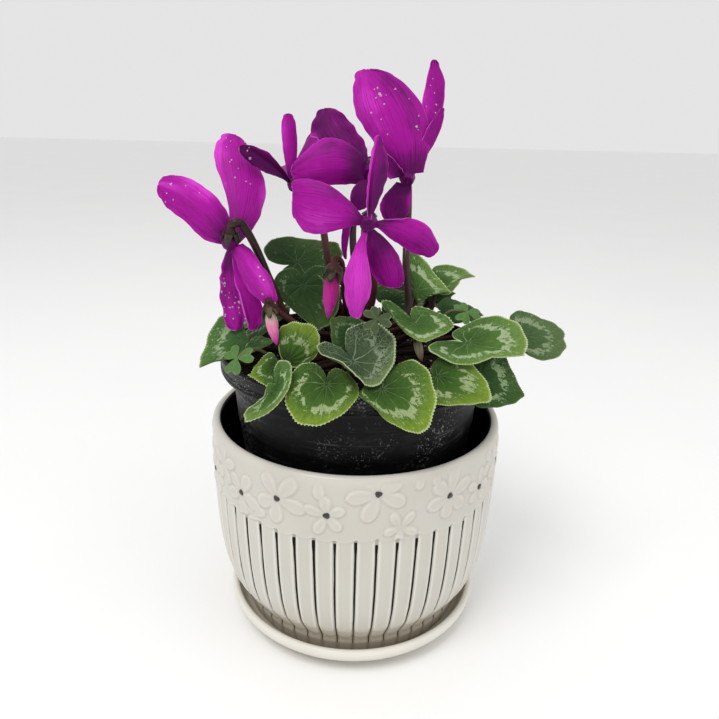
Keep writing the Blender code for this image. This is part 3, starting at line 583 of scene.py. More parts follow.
def petalFinish(name, shades):
    # the grid's own UV: x across from edge to edge, y from the mouth to the tip
    made, tree, shader = finish(name, **{"Specular IOR Level": 0.12, "Sheen Weight": 0.04,
                                         "Sheen Roughness": 0.4, "Subsurface Weight": 0.08,
                                         "Subsurface Radius": (0.004, 0.001, 0.003)})
    across, along, _ = split(uvPlace(tree, "UVMap"))
    threads = cloud(uvPlace(tree, "streaks"), 1.0, 3.0, 0.65)
    broad = cloud(objectPlace(tree), 70.0, 3.0)
    side = abs(across - 0.5) * 2.0
    line = ease(calc("PINGPONG", across * 24.0 + threads * 2.2, 0.5), 0.17, 0.0)
    line = line * ease(broad, 0.30, 0.62, 0.10, 0.34)
    # tone, painted per petal and per spot, brightens and darkens it as painted light and shade
    level = attribute(tree, "tone") + broad * 0.7 + threads * 0.4 - 0.58 - line
    level = level + ease(side, 0.6, 1.0, 0.0, 0.18) - ease(along, 0.34, 0.0, 0.0, 0.40)
    shade = blend(ease(level, -0.05, 0.5), shades["dark"], shades["mid"])
    shade = blend(ease(level, 0.5, 1.05), shade, shades["light"])
    rim = ease(most(side, along), 0.975, 0.998) * 0.45
    wear(shader, blend(rim, shade, shades["rim"]), threads * 0.2 + 0.38)
    emboss(shader, threads - line * 1.5, 0.35, 0.0006)
    return made


# Saucer and planter

saucer = dict(columns=180, profile=[
    (0, 0), (30, 0), (60, 0), (63, 0.3), (66, 1.2), (70, 3.0), (74, 5.5), (76.6, 7.8), (78.4, 10),
    (79.1, 12), (79.2, 13.6), (78.8, 15.0), (77.9, 15.8), (76.8, 16), (75.7, 15.7), (75.0, 14.8),
    (74.6, 13.4), (73.9, 11), (72.8, 8.8), (71.4, 7.2), (69.6, 6.6), (66, 6.5), (40, 6.5), (0, 6.5)])

# firstGroove is in degrees from the front
# shadeFrom is how many rows past the outside the inner wall starts to be painted black, as shade
planter = dict(
    columns=600, sideStep=0.85, radius=86.0, drainRadius=7.0, shadeFrom=6, flutes=50, firstGroove=0.9,
    fluteTop=93.5, fluteLip=29.0, lipDepth=0.45, fluteFoot=21.5, footDepth=0.45, grooveDepth=1.0,
    grooveWidth=0.75, ledge=0.3, petalRelief=0.8, dotRadius=1.8)

# how the planter's outside swells from its foot to its rim: height, radius
planterSide = [(17.5, 71.2), (20.0, 72.0), (24.0, 74.3), (28.0, 76.8), (33.0, 79.3), (39.0, 81.1),
               (45.0, 82.6), (52.0, 83.7), (60.0, 84.6), (70.0, 85.3), (82.0, 85.8), (94.0, 86.0),
               (118.0, 86.0), (126.0, 85.9)]

# daisies: degrees from the front, height, size, direction of the first petal, petals, dot of ink
daisies = [(-44, 107, 14, 60, 5, True), (-27, 113, 15.5, 127, 5, True), (-9, 109, 11.5, 168, 5, True),
           (8, 122, 15.5, 183, 5, True), (16, 101, 10, 120, 5, False), (35, 113, 15, 198, 6, True),
           (52, 108, 11, 150, 5, True), (-12, 129, 12, 270, 1, False), (23, 130, 10, 265, 1, False),
           (28, 130, 10, 280, 1, False), (-38, 98, 11, 30, 5, False), (-56, 116, 13, 20, 5, False),
           (-64, 103, 11, 80, 5, False), (62, 118, 12, 60, 5, False)]


def daisyBand():
    # the visible third is listed one by one, and the rest goes round by a rule
    rows = list(daisies)
    draw = np.random.default_rng(12)
    for k, turn in enumerate(range(70, 302, 20)):
        high = k % 2 == 0
        size = 15 if high else 12
        rows.append((turn + draw.uniform(-3, 3), 114 if high else 105, size, draw.uniform(0, 360), 5, True))
    return rows


def easeIn(share):
    share = np.clip(share, 0, 1)
    return share * share * (3 - 2 * share)


def daisyRelief(turn, height):
    # plump petals with a pressed middle line, standing out of the band
    relief = np.zeros_like(turn)
    for middle, level, size, first, count, _ in daisyBand():
        across = (np.degrees(turn) - middle + 180) % 360 - 180
        x, z = np.radians(across) * planter["radius"], height - level
        near = (np.abs(x) < 1.3 * size) & (np.abs(z) < 1.3 * size)
        for k in range(count):
            way = math.radians(first + k * 360 / max(count, 5) + 7 * math.sin(3 * k + middle))
            long = size * (0.95 + 0.12 * math.sin(5 * k + level))
            along = x * math.cos(way) + z * math.sin(way)
            beside = -x * math.sin(way) + z * math.cos(way)
            share = along / long
            half = 0.31 * size * np.sqrt(np.clip(share * (1.04 - share) * 4, 0, None)) * (0.55 + 0.65 * share)
            inside = easeIn(np.clip((half - np.abs(beside)) / 1.6, 0, 1) * (share > 0.04))
            crease = 0.35 * np.exp(-(beside / 0.8) ** 2) * np.clip(1.0 - share * 1.5, 0, 1)
            hollow = 0.22 * np.clip(1 - np.abs(beside) / (half + 0.1), 0, 1)
            plump = inside * (1 - crease - hollow) * (0.35 + 0.65 * np.clip(share * 1.6, 0, 1))
            relief = np.where(near, np.maximum(relief, plump), relief)
    return relief * planter["petalRelief"]


def planterShape(turn, radius, height, step):
    # grooves between cushioned flutes, two scalloped steps at the foot, and the band of daisies
    outside = (step >= planter["firstSide"]) & (step <= planter["lastSide"])
    flute = (np.degrees(turn) - planter["firstGroove"]) / 360 * planter["flutes"]
    half = math.pi * radius / planter["flutes"]
    apart = np.abs(flute - np.rint(flute)) * 2 * half
    top = planter["fluteTop"] + 0.6 * np.cos(2 * math.pi * flute)
    top = top + 0.5 * np.sin(7.1 * turn) + 0.4 * np.sin(17 * turn)
    scallop = 4.2 * (1 - np.sqrt(np.clip(1 - (half - apart) ** 2 / half ** 2, 0, 1)))
    groove = planter["grooveDepth"] * np.exp(-(apart / planter["grooveWidth"]) ** 2)
    cushion = 0.35 * (1 - np.clip(apart / half, 0, 1)) ** 2
    lip = easeIn((planter["fluteLip"] + scallop - height) / 1.7)
    foot = easeIn((planter["fluteFoot"] + 0.8 * scallop - height) / 1.7)
    above = easeIn((height - top) / 1.4)
    change = -(groove + cushion) * (1 - above) * (1 - 0.3 * lip - 0.3 * foot)
    footDepth = planter["footDepth"] * np.clip((height - 16) / 3, 0, 1)
    change = change - planter["lipDepth"] * lip - footDepth * foot
    ledge = planter["ledge"] * above * np.exp(-np.clip(height - top, 0, None) / 6)
    band = daisyRelief(turn, height) * above * np.clip((127.0 - height) / 5, 0, 1) ** 0.5
    return np.where(outside, radius + change + ledge + band, radius), height


def poolOf(relief):
    # where glaze gathers, in hollows, and where it thins out, on edges (below 0): this also paints shade into
    # the hollows and highlights onto the edges
    for _ in range(2):
        wide = np.pad(relief, 1, mode="edge")
        wide[:, 0], wide[:, -1] = wide[:, -3], wide[:, 2]
        blurred = (wide[2:, 1:-1] + wide[:-2, 1:-1] + wide[1:-1, 2:] + wide[1:-1, :-2] + 4 * relief) / 8
        change = blurred - relief
        relief = blurred
    return np.clip(change * 14, -1, 1).ravel()


def planterCoat(piece, turn, relief, height, step):
    # how deep the glaze lies, which also paints shade into hollows and highlights onto edges, where it is on
    # a petal, and the inner wall, which is painted black as shade
    below = step - planter["lastSide"]
    paint(piece, "poolAndShade", poolOf(relief.reshape(-1, planter["columns"] + 1)))
    paint(piece, "petals", daisyRelief(turn, height) * (below <= 0) * (height > 90))
    paint(piece, "inside", below >= planter["shadeFrom"])


def makePlanter():
    drain = planter["drainRadius"]
    under = [(drain, 10.0), (40, 10.0), (60, 10.0), (60.6, 8.4), (61.4, 6.9), (64, 6.8), (67.6, 6.8),
             (68.6, 7.4), (69.3, 10), (70.0, 14), (70.6, 16.6)]
    levels, radii = zip(*planterSide)
    side = [(lookup(z, levels, radii), z) for z in np.arange(17.5, 126.5, planter["sideStep"])]
    rim = [(85.7, 127.6), (85.2, 129.0), (84.3, 129.9), (83.1, 130.3), (81.9, 130.1), (80.9, 129.3),
           (80.3, 128.0), (80.0, 126), (79.9, 110), (79.4, 60), (76.5, 40), (71.5, 26), (67.5, 17.5),
           (64, 14.0), (40, 14.0), (drain, 14.0), (drain, 10.0)]
    planter.update(firstSide=len(under), lastSide=len(under) + len(side) - 1)
    piece = turned("flutedPlanter", under + side + rim, planter["columns"], planterShape, planterCoat)
    piece.data.materials.append(planterGlaze())
    smooth(piece, 60)
    mount(piece, "white_glaze", "planter")


def makeDaisyDots():
    # a drop of black glaze in the middle of most daisies
    ink = speckledFinish("blackGlazeDots", 300.0, (0.004, 0.004, 0.004), (0.014, 0.013, 0.012), 0.2,
                         **{"Coat Weight": 0.5})
    size = planter["dotRadius"]
    up = np.array([0, 0, 1.0])
    dots = []
    for middle, level, _, first, _, dotted in daisyBand():
        if not dotted:
            continue
        bpy.ops.object.select_all(action="DESELECT")
        bpy.ops.mesh.primitive_uv_sphere_add(segments=20, ring_count=10, radius=1)
        dot = bpy.context.object
        ball = pointsOf(dot)
        turn = math.radians(middle)
        out = np.array([math.sin(turn), -math.cos(turn), 0])
        side = np.array([math.cos(turn), math.sin(turn), 0])
        swell = size * (1 + 0.1 * np.sin(3 * np.arctan2(ball[:, 2], ball[:, 0]) + first))
        spot = out * (planter["radius"] + planter["ledge"] + 0.1) + up * level
        place(dot, spot + side * (ball[:, 0] * swell)[:, None] + out * (ball[:, 1] * 0.6)[:, None]
              + up * (ball[:, 2] * swell * 0.92)[:, None])
        dots.append(dot)
    piece = joined("daisyDots", dots)
    piece.data.materials.append(ink)
    smooth(piece)
    mount(piece, "white_glaze")


def makeSaucer():
    piece = turned("roundSaucer", saucer["profile"], saucer["columns"])
    modify(piece, "SUBSURF", levels=1, render_levels=1)
    piece.data.materials.append(saucerGlaze())
    smooth(piece, 60)
    mount(piece, "white_glaze", "saucer")


makeSaucer()
makePlanter()
makeDaisyDots()
print("saucer and planter done")


# Nursery pot, soil and tuber

pot = dict(base=14.3, top=170.0, footRadius=54.0, shoulder=72.8, rimRadius=79.2, columns=160)
tuber = dict(soilTop=159.0, radius=23.0, halfHeight=12.0, crownRing=15.5, stalkRadii=[1.9, 1.6, 1.3, 1.1])


def makeNurseryPot():
    # a slanted wall, a step below the shoulder, and a rim with two grooves
    base, top, foot = pot["base"], pot["top"], pot["footRadius"]
    shoulder, rim = pot["shoulder"], pot["rimRadius"]
    profile = [(0, base + 1.5), (49, base + 1.5), (51, base), (foot, base),
               *np.linspace((foot + 1.5, base + 4), (70.8, 133), 12)[:-1],
               (69.9, 128.6), (70.6, 130.0), (70.8, 131.2), (70.7, 133.0), (71.4, 142), (71.9, 149),
               (72.5, 150.4), (72.5, 152), (72.2, 153), (shoulder, 158), (shoulder + 0.3, 159.0),
               (rim - 1.4, 159.0), (rim - 0.4, 159.3), (rim, 160.2), (rim + 0.1, 161), (rim - 0.3, 161.4),
               (rim - 0.3, 162), (rim + 0.1, 162.4), (rim + 0.1, 163.2), (rim - 0.3, 163.6),
               (rim - 0.3, 164.2), (rim, 164.8), (rim + 0.1, top - 2), (rim + 0.4, top - 0.8),
               (rim + 0.1, top - 0.2), (rim - 0.8, top), (rim - 1.7, top - 0.4), (rim - 1.9, top - 1.5),
               (rim - 2.0, 160.6), (shoulder - 1.6, 159.0), (65, 100), (foot - 0.4, base + 4.5),
               (51, base + 3), (0, base + 3)]

    def worn(turn, radius, height, step):
        # a little out of round towards the rim
        return radius + 0.25 * np.sin(3 * turn + 1) * np.clip(radius / 70, 0, 1) ** 4, height

    piece = turned("blackNurseryPot", profile, pot["columns"], worn)
    piece.data.materials.append(plasticFinish())
    smooth(piece, 35)
    mount(piece, "black_plastic", "nursery_pot")


soil = dict(columns=150, topRings=26, lift=3.3, tuberGap=1.0, edgeFrom=66, edgeWidth=4, edgeDrop=1.2)


def makeSoil():
    # fills the pot, with a lumpy top and a hollow for the tuber
    base = pot["base"] + soil["lift"]
    hollow = tuber["radius"] + soil["tuberGap"]
    radii = list(np.linspace(70.4, hollow + 0.6, soil["topRings"]))
    profile = [(0, base), (50, base), (52.8, base + 2.4), (60, 78), (70.6, 155.0), (70.5, 157.0)]
    firstTop = len(profile)
    profile += [(r, tuber["soilTop"]) for r in radii]
    lastTop = len(profile) - 1
    profile += [(hollow, 154), (20, 150), (8.4, 146.7), (0, 146.7)]

    def lumps(turn, radius, height, step):
        x, y = radius * np.sin(turn) / 5, radius * np.cos(turn) / 5
        rough = 0.9 * ripple(x, y, 1.0) + 0.8 * ripple(2.3 * x, 2.1 * y, 4.0)
        rough = rough + 0.5 * ripple(5.2 * x, 5.7 * y, 9.0)
        top = (step >= firstTop) & (step <= lastTop)
        edge = np.clip((radius - soil["edgeFrom"]) / soil["edgeWidth"], 0, 1)
        return radius, np.where(top, height + rough * (1 - edge) - soil["edgeDrop"] * edge, height)

    piece = turned("pottingMix", profile, soil["columns"], lumps)
    piece.data.materials.append(soilFinish())
    smooth(piece, 80)
    mount(piece, "soil", "soil")


# scattered over the soil: how many, and their smallest and largest size
grains = {"barkCrumbs": (260, 0.9, 2.4), "whiteGrains": (70, 0.6, 1.5)}
scatter = dict(inner=25.5, outer=67, lift=0.3)


def makeGrains():
    draw = np.random.default_rng(5)
    finishes = {"barkCrumbs": skinFinish("barkCrumb", (0.012, 0.007, 0.004), (0.07, 0.04, 0.022), 300.0,
                                         0.75, 0.5),
                "whiteGrains": speckledFinish("mineralGrains", 300.0, (0.42, 0.39, 0.33),
                                              (0.75, 0.72, 0.66), 0.7)}
    for name, (count, low, high) in grains.items():
        crumbs = []
        bpy.ops.object.select_all(action="DESELECT")
        bpy.ops.mesh.primitive_ico_sphere_add(subdivisions=1, radius=1)
        first = bpy.context.object
        ball = pointsOf(first)
        for _ in range(count):
            crumb = first.copy()
            crumb.data = first.data.copy()
            bpy.context.scene.collection.objects.link(crumb)
            size = draw.uniform(low, high)
            reach = math.sqrt(draw.uniform(scatter["inner"] ** 2, scatter["outer"] ** 2))
            turn = draw.uniform(0, 2 * math.pi)
            ragged = ball * (1 + draw.uniform(-0.3, 0.3, (len(ball), 1))) * draw.uniform(0.6, 1.0, 3)
            spun = ragged @ np.array(Matrix.Rotation(draw.uniform(0, 6), 3, "Z"))
            level = tuber["soilTop"] + scatter["lift"]
            place(crumb, spun * size + (reach * math.cos(turn), reach * math.sin(turn), level))
            crumbs.append(crumb)
        bpy.data.objects.remove(first)
        piece = joined(name, crumbs)
        piece.data.materials.append(finishes[name])
        mount(piece, "soil")


makeNurseryPot()
makeSoil()
makeGrains()
print("nursery pot and soil done")


# Leaves

# Each blade hangs on six points: where its stalk meets it, its tip, the widest point of
# either side and the end of either lobe. full is how round its shoulders are, tone its
# colouring, partly painted light and shade, and silver how much of the pale ring shows between
# its veins, from one lobe over the tip to the other (0 to 9 for each gap). foot shifts the start
# of its stalk on the tuber by so many degrees, and via is a point that the stalk passes.
leaves = {
    "01": dict(stalk=(-36, 8, 217), tip=(-13, 20, 226), left=(-45, 26, 228), right=(-18, 2, 211),
               leftLobe=(-56, 17, 221), rightLobe=(-40, -2, 207), full=(0.7, 0.7), tone="shade",
               silver="00333300"),
    "02": dict(stalk=(-30, -18, 209), tip=(-21, -27, 187), left=(-10, -19, 202), right=(-44, -18, 204),
               leftLobe=(-18, -10, 218), rightLobe=(-42, -13, 216), full=(0.4, 0.7), foot=10, tone="shade",
               silver="56420356"),
    "03": dict(stalk=(-61, -34, 182), tip=(-84, -34, 167), left=(-66, -36, 173), right=(-81, -20, 183),
               leftLobe=(-58, -36, 179), rightLobe=(-69, -17, 191), full=(0.9, 0.9), tone="mid",
               silver="02896998"),
    "04": dict(stalk=(-55, -43, 182), tip=(-46, -25, 181), left=(-55, -28, 183), right=(-49, -40, 181),
               leftLobe=(-57, -41, 183), rightLobe=(-56, -51, 181), full=(0.5, 0.5), tone="mid",
               silver="33333333"),
    "05": dict(stalk=(-35, -50, 178), tip=(-21, -38, 192), left=(-39, -41, 193), right=(-22, -46, 178),
               leftLobe=(-40, -47, 184), rightLobe=(-32, -52, 175), full=(0.9, 0.3), tone="lit",
               silver="36778763"),
    "06": dict(stalk=(-41, -63, 179), tip=(-53, -62, 174), left=(-47, -67, 172), right=(-48, -55, 180),
               leftLobe=(-39, -69, 173), rightLobe=(-41, -56, 182), full=(1.4, 1.4), tone="lit",
               silver="35777753"),
    "07": dict(stalk=(-38, -83, 174), tip=(-51, -88, 161), left=(-30, -81, 181), right=(-47, -86, 169),
               leftLobe=(-37, -75, 186), rightLobe=(-42, -83, 175), full=(1.5, 0.1), via=(-34, -69, 176),
               tone="fresh", silver="78776787"),
    "08": dict(stalk=(-14, -80, 177), tip=(-16, -90, 161), left=(1, -76, 172), right=(-33, -81, 172),
               leftLobe=(-6, -66, 178), rightLobe=(-25, -71, 184), full=(1.1, 1.0), tone="lit",
               silver="26798494"),
    "09": dict(stalk=(-2, -59, 181), tip=(4, -84, 179), left=(19, -60, 189), right=(-9, -64, 183),
               leftLobe=(2, -44, 197), rightLobe=(-20, -53, 187), full=(1.0, 0.5), tone="grey",
               silver="78764366"),
    "10": dict(stalk=(-5, -42, 188), tip=(-15, -31, 194), left=(-13, -43, 184), right=(-2, -28, 195),
               leftLobe=(-8, -48, 182), rightLobe=(3, -37, 190), full=(0.5, 0.5), tone="shade",
               silver="55777755"),
    "11": dict(stalk=(12, -82, 176), tip=(30, -90, 157), left=(35, -70, 180), right=(6, -83, 169),
               leftLobe=(18, -66, 182), rightLobe=(2, -76, 173), full=(0.8, 0.3), tone="lit",
               silver="37998987"),
    "12": dict(stalk=(29, -45, 197), tip=(34, -55, 191), left=(49, -43, 196), right=(19, -41, 197),
               leftLobe=(36, -36, 203), rightLobe=(13, -32, 206), full=(0.6, 0.3), foot=-12, tone="fresh",
               silver="79898876"),
    "13": dict(stalk=(33, -10, 206), tip=(52, -3, 204), left=(37, 8, 220), right=(40, -7, 203),
               leftLobe=(27, 6, 221), rightLobe=(32, -12, 201), full=(1.0, 0.5), via=(31, -13, 190),
               tone="fresh", silver="78987665"),
    "14": dict(stalk=(45, 2, 208), tip=(66, 11, 210), left=(59, 17, 214), right=(56, 3, 205),
               leftLobe=(43, 12, 214), rightLobe=(45, -2, 203), full=(1.2, 0.5), via=(42, -3, 193),
               tone="fresh", silver="69998754"),
    "15": dict(stalk=(41, 6, 199), tip=(57, 10, 200), left=(50, 14, 202), right=(49, 3, 196),
               leftLobe=(39, 11, 201), rightLobe=(39, 4, 197), full=(0.5, 0.5), tone="shade",
               silver="22222222"),
    "16": dict(stalk=(48, -20, 197), tip=(69, -18, 195), left=(57, -9, 200), right=(54, -25, 192),
               leftLobe=(46, -12, 201), rightLobe=(43, -25, 194), full=(0.9, 0.5), tone="deep",
               silver="02333200"),
    "17": dict(stalk=(55, -53, 190), tip=(86, -49, 183), left=(74, -37, 200), right=(47, -66, 184),
               leftLobe=(53, -47, 197), rightLobe=(35, -61, 191), full=(0.9, -1.7), tone="fresh",
               silver="57999879"),
    "18": dict(stalk=(91, -22, 185), tip=(117, -13, 181), left=(99, -7, 193), right=(103, -28, 173),
               leftLobe=(85, -14, 194), rightLobe=(89, -26, 180), full=(1.3, 1.3), tone="dull",
               silver="89877998"),
    "19": dict(stalk=(39, -69, 178), tip=(65, -67, 164), left=(54, -57, 184), right=(37, -75, 166),
               leftLobe=(41, -60, 185), rightLobe=(31, -74, 172), full=(1.1, 0.4), tone="lit",
               silver="03994984"),
    "20": dict(stalk=(62, -57, 173), tip=(87, -50, 161), left=(75, -40, 183), right=(67, -62, 159),
               leftLobe=(64, -46, 184), rightLobe=(57, -63, 166), full=(0.6, 0.8), via=(55, -51, 176),
               tone="deep", silver="68985983"),
    "21": dict(stalk=(17, -8, 199), tip=(29, 1, 203), left=(16, 2, 206), right=(29, -7, 196),
               leftLobe=(10, -3, 203), rightLobe=(16, -13, 192), full=(0.5, 0.5), tone="shade",
               silver="44444444"),
}

# The leaves at the back follow a rule: turn is measured from +X.
backLeaves = {
    "22": dict(turn=8, reach=74, rise=184, length=30, width=38, dip=30),
    "23": dict(turn=36, reach=58, rise=190, length=29, width=37, dip=24),
    "24": dict(turn=62, reach=66, rise=190, length=31, width=39, dip=30),
    "25": dict(turn=86, reach=60, rise=197, length=28, width=36, dip=24),
    "26": dict(turn=113, reach=69, rise=184, length=30, width=37, dip=32),
    "27": dict(turn=137, reach=44, rise=190, length=29, width=34, dip=20),
    "28": dict(turn=168, reach=64, rise=183, length=29, width=35, dip=28),
    "29": dict(turn=76, reach=26, rise=212, length=26, width=33, dip=6),
    "30": dict(turn=188, reach=52, rise=188, length=24, width=32, dip=30),
}

# outline is how many times the length of a blade goes around its edge
blade = dict(thickness=0.55, rings=13, outline=5.6, toothPitch=1.6, toothDepth=0.26, quilt=0.45, wave=0.45)

# painted light and shade: bright is the set of greens for leaves in full light, and shade the darker set for
# leaves that lie in shade
leafTones = {
    "lit": dict(deep=(0.012, 0.030, 0.008), green=(0.048, 0.112, 0.015), margin=(0.175, 0.265, 0.024),
                   silver=(0.34, 0.42, 0.21), vein=(0.16, 0.25, 0.09), edge=(0.50, 0.60, 0.30)),
    "fresh": dict(deep=(0.026, 0.066, 0.016), green=(0.070, 0.150, 0.030), margin=(0.14, 0.225, 0.045),
                  silver=(0.38, 0.47, 0.27), vein=(0.20, 0.30, 0.13), edge=(0.50, 0.60, 0.32)),
    "mid": dict(deep=(0.025, 0.070, 0.020), green=(0.045, 0.115, 0.026), margin=(0.08, 0.16, 0.034),
                silver=(0.29, 0.39, 0.22), vein=(0.14, 0.22, 0.10), edge=(0.28, 0.36, 0.16)),
    "grey": dict(deep=(0.030, 0.052, 0.027), green=(0.052, 0.088, 0.040), margin=(0.14, 0.20, 0.075),
                 silver=(0.24, 0.30, 0.20), vein=(0.24, 0.31, 0.19), edge=(0.44, 0.54, 0.30), veining=1.3),
    "dull": dict(deep=(0.040, 0.080, 0.032), green=(0.055, 0.105, 0.038), margin=(0.08, 0.13, 0.042),
                 silver=(0.26, 0.33, 0.19), vein=(0.18, 0.25, 0.12), edge=(0.16, 0.22, 0.09)),
    "deep": dict(deep=(0.012, 0.038, 0.011), green=(0.024, 0.064, 0.015), margin=(0.038, 0.085, 0.018),
                 silver=(0.26, 0.37, 0.19), vein=(0.10, 0.17, 0.07), edge=(0.10, 0.16, 0.05)),
    "shade": dict(deep=(0.014, 0.038, 0.012), green=(0.026, 0.062, 0.016), margin=(0.058, 0.105, 0.024),
                  silver=(0.16, 0.22, 0.12), vein=(0.09, 0.14, 0.07), edge=(0.24, 0.31, 0.14)),
}

# how far the edge of a leaf lies from its stalk, at so many degrees from the tip
turns = [0, 10, 25, 45, 80, 115, 140, 158, 172, 180]
roundReach = [1.0, 0.995, 0.985, 0.96, 0.90, 0.87, 0.81, 0.70, 0.36, 0.06]
pointedReach = [1.0, 0.92, 0.86, 0.86, 0.90, 0.87, 0.81, 0.70, 0.36, 0.06]
veinTurns = [0, 30, 62, 98, 140, 180]


def leafReach(turn, full):
    # distance from the stalk to the edge of a unit leaf, turn being in degrees from the tip
    share = np.where(turn > 0, full[0], full[1])
    plump, slim = lookup(abs(turn), turns, roundReach), lookup(abs(turn), turns, pointedReach)
    return share * plump + (1 - share) * slim


def leafTerms(u, v):
    return np.stack([np.ones_like(u), u, v, u * u, u * v, v * v], -1)


def leafPins():
    # where the six points of a blade lie on a unit leaf
    spots = [(0.0, 0.0)]
    for turn in (0, 80, -80, 140, -140):
        reach = float(leafReach(np.float64(turn), (1.0, 1.0)))
        spots.append((reach * math.cos(math.radians(turn)), reach * math.sin(math.radians(turn))))
    spots = np.array(spots)
    return np.linalg.inv(leafTerms(spots[:, 0], spots[:, 1]))


leafInverse = leafPins()


def leafSheet(row):
    keys = ("stalk", "tip", "left", "right", "leftLobe", "rightLobe")
    weights = leafInverse @ np.array([row[key] for key in keys], float)
    return lambda u, v: leafTerms(u, v) @ weights


def sheetNormals(sheet, u, v, step=0.02):
    along = sheet(u + step, v) - sheet(u - step, v)
    across = sheet(u, v + step) - sheet(u, v - step)
    normals = np.cross(along, across)
    return normals / np.linalg.norm(normals, axis=-1)[..., None]


def rosetteLeaf(number, turn, reach, rise, length, width, dip):
    # a leaf that points outwards from the middle of the pot and droops to its tip
    turn, dip = math.radians(turn), math.radians(dip)
    away = np.array([math.cos(turn), math.sin(turn), 0.0])
    along = away * math.cos(dip) - np.array([0, 0, math.sin(dip)])
    across = np.array([-away[1], away[0], 0.0])
    up = np.cross(along, across)
    stalk = away * reach + np.array([0, 0, rise])
    side = width / 2
    row = dict(stalk=stalk, tip=stalk + along * length - up * 4, full=(0.6, 0.6))
    for key, sign in (("left", 1), ("right", -1)):
        row[key] = stalk + along * 0.15 * length + across * sign * side - up * 3
        row[key + "Lobe"] = stalk - along * 0.55 * length + across * sign * 0.55 * side - up * 1
    row["tone"] = ("mid", "fresh", "deep", "lit")[number % 4]
    row["silver"] = ("57898752", "46988964", "78799875")[number % 3]
    return row


def allLeaves():
    rows = dict(leaves)
    for name, rule in backLeaves.items():
        rows[name] = rosetteLeaf(int(name), **rule)
    return rows


def makeBlade(name, row, finishes, under):
    sheet = leafSheet(row)
    seed = int(name)
    size = np.linalg.norm(np.array(row["tip"], float) - np.array(row["stalk"], float))
    teeth = int(blade["outline"] * size / blade["toothPitch"])
    piece = sheetOf("leafBlade_" + name, 3 * teeth, blade["rings"])
    flat = pointsOf(piece)
    turn = 180 * flat[:, 0]
    ring = 1 - (1 - (flat[:, 1] + 1) / 2) ** 1.35
    reach = leafReach(turn, row["full"])
    tooth = 0.5 + 0.5 * np.cos(2 * math.pi * (flat[:, 0] + 1) / 2 * teeth)
    edge = 1 + (tooth - 0.6) * blade["toothDepth"] * 2 / size + 0.012 * np.sin(0.19 * turn + seed)
    reach = reach * (1 + (edge - 1) * ring ** 6)
    u, v = ring * reach * np.cos(np.radians(turn)), ring * reach * np.sin(np.radians(turn))
    vein = np.sign(turn) * lookup(abs(turn), veinTurns, range(len(veinTurns)))
    apart = np.abs(vein - np.rint(vein))
    puff = blade["quilt"] * (apart * 2) * ring * (1 - ring) * 4
    puff = puff - 0.25 * (1 - np.clip(apart * 8, 0, 1)) * ring
    wave = blade["wave"] * ring ** 4 * np.sin(np.radians(turn) * 5 + seed) * np.clip(size / 25, 0.4, 1.3)
    normals = sheetNormals(sheet, u, v)
    place(piece, sheet(u, v) + normals * (puff + wave)[:, None])
    addUv(piece, "veins", np.stack([vein / 10 + 0.5, ring], 1))
    addUv(piece, "flat", np.stack([u * size / 20 + seed * 3.7, v * size / 20 - seed * 2.9], 1))
    amounts = [int(letter) / 9 for letter in row["silver"]]
    weights = lookup(-vein, [-4, -3.5, -2.5, -1.5, -0.5, 0.5, 1.5, 2.5, 3.5, 4], [0, *amounts, 0])
    paint(piece, "silver", weights)
    paint(piece, "forward", ring * np.cos(np.radians(turn)))
    paint(piece, "tooth", tooth)
    close(piece, 0.01)
    outward(piece, normals[np.argmin(ring)])
    thicken(piece, blade["thickness"], [finishes[row["tone"]], under, finishes[row["tone"]]])
    smooth(piece, 70)
    mount(piece, "leaf", "leaf_" + name)


def addUv(piece, name, values):
    layer = piece.data.uv_layers.new(name=name)
    corners = np.empty(len(piece.data.loops), int)
    piece.data.loops.foreach_get("vertex_index", corners)
    layer.data.foreach_set("uv", values[corners].ravel())


def outward(piece, way):
    # an open sheet shows its top along way
    mean = np.zeros(3)
    for face in piece.data.polygons:
        mean += np.array(face.normal) * face.area
    if mean @ way < 0:
        alone(piece)
        bpy.ops.object.mode_set(mode="EDIT")
        bpy.ops.mesh.select_all(action="SELECT")
        bpy.ops.mesh.flip_normals()
        bpy.ops.object.mode_set(mode="OBJECT")


def makeLeaves():
    finishes = {name: leafFinish(name + "Leaf", tone) for name, tone in leafTones.items()}
    under = underLeafFinish()
    for name, row in allLeaves().items():
        makeBlade(name, row, finishes, under)


def tuberHeight(radius):
    share = min(radius / tuber["radius"], 1.0)
    return tuber["soilTop"] + tuber["halfHeight"] * math.sqrt(1 - share * share)


def petioleLine(row):
    # from the crown of the tuber, up and out, to the underside of the blade
    sheet = leafSheet(row)
    zero = np.zeros(1)
    normal = sheetNormals(sheet, zero, zero)[0]
    seat = np.array(row["stalk"], float) - normal * 0.3
    turn = math.atan2(seat[1], seat[0]) + math.radians(row.get("foot", 0))
    ring = tuber["crownRing"]
    start = np.array([ring * math.cos(turn), ring * math.sin(turn), tuberHeight(ring) - 3])
    neck = seat - normal * 2.5
    if "via" in row:
        way = np.array(row["via"], float) - start
        corner = rounded([start, start + 0.5 * way, start + 0.95 * way, 0.5 * (start + way + neck), neck])
        return corner + [seat]
    span = neck - start
    first = start + np.array([0.3 * span[0], 0.3 * span[1], 0.6 * span[2]])
    last = neck - normal * 0.25 * np.linalg.norm(span)
    path = []
    for t in np.linspace(0, 1, 18):
        s = 1 - t
        path.append(s ** 3 * start + 3 * s * s * t * first + 3 * s * t * t * last + t ** 3 * neck)
    return path + [seat]


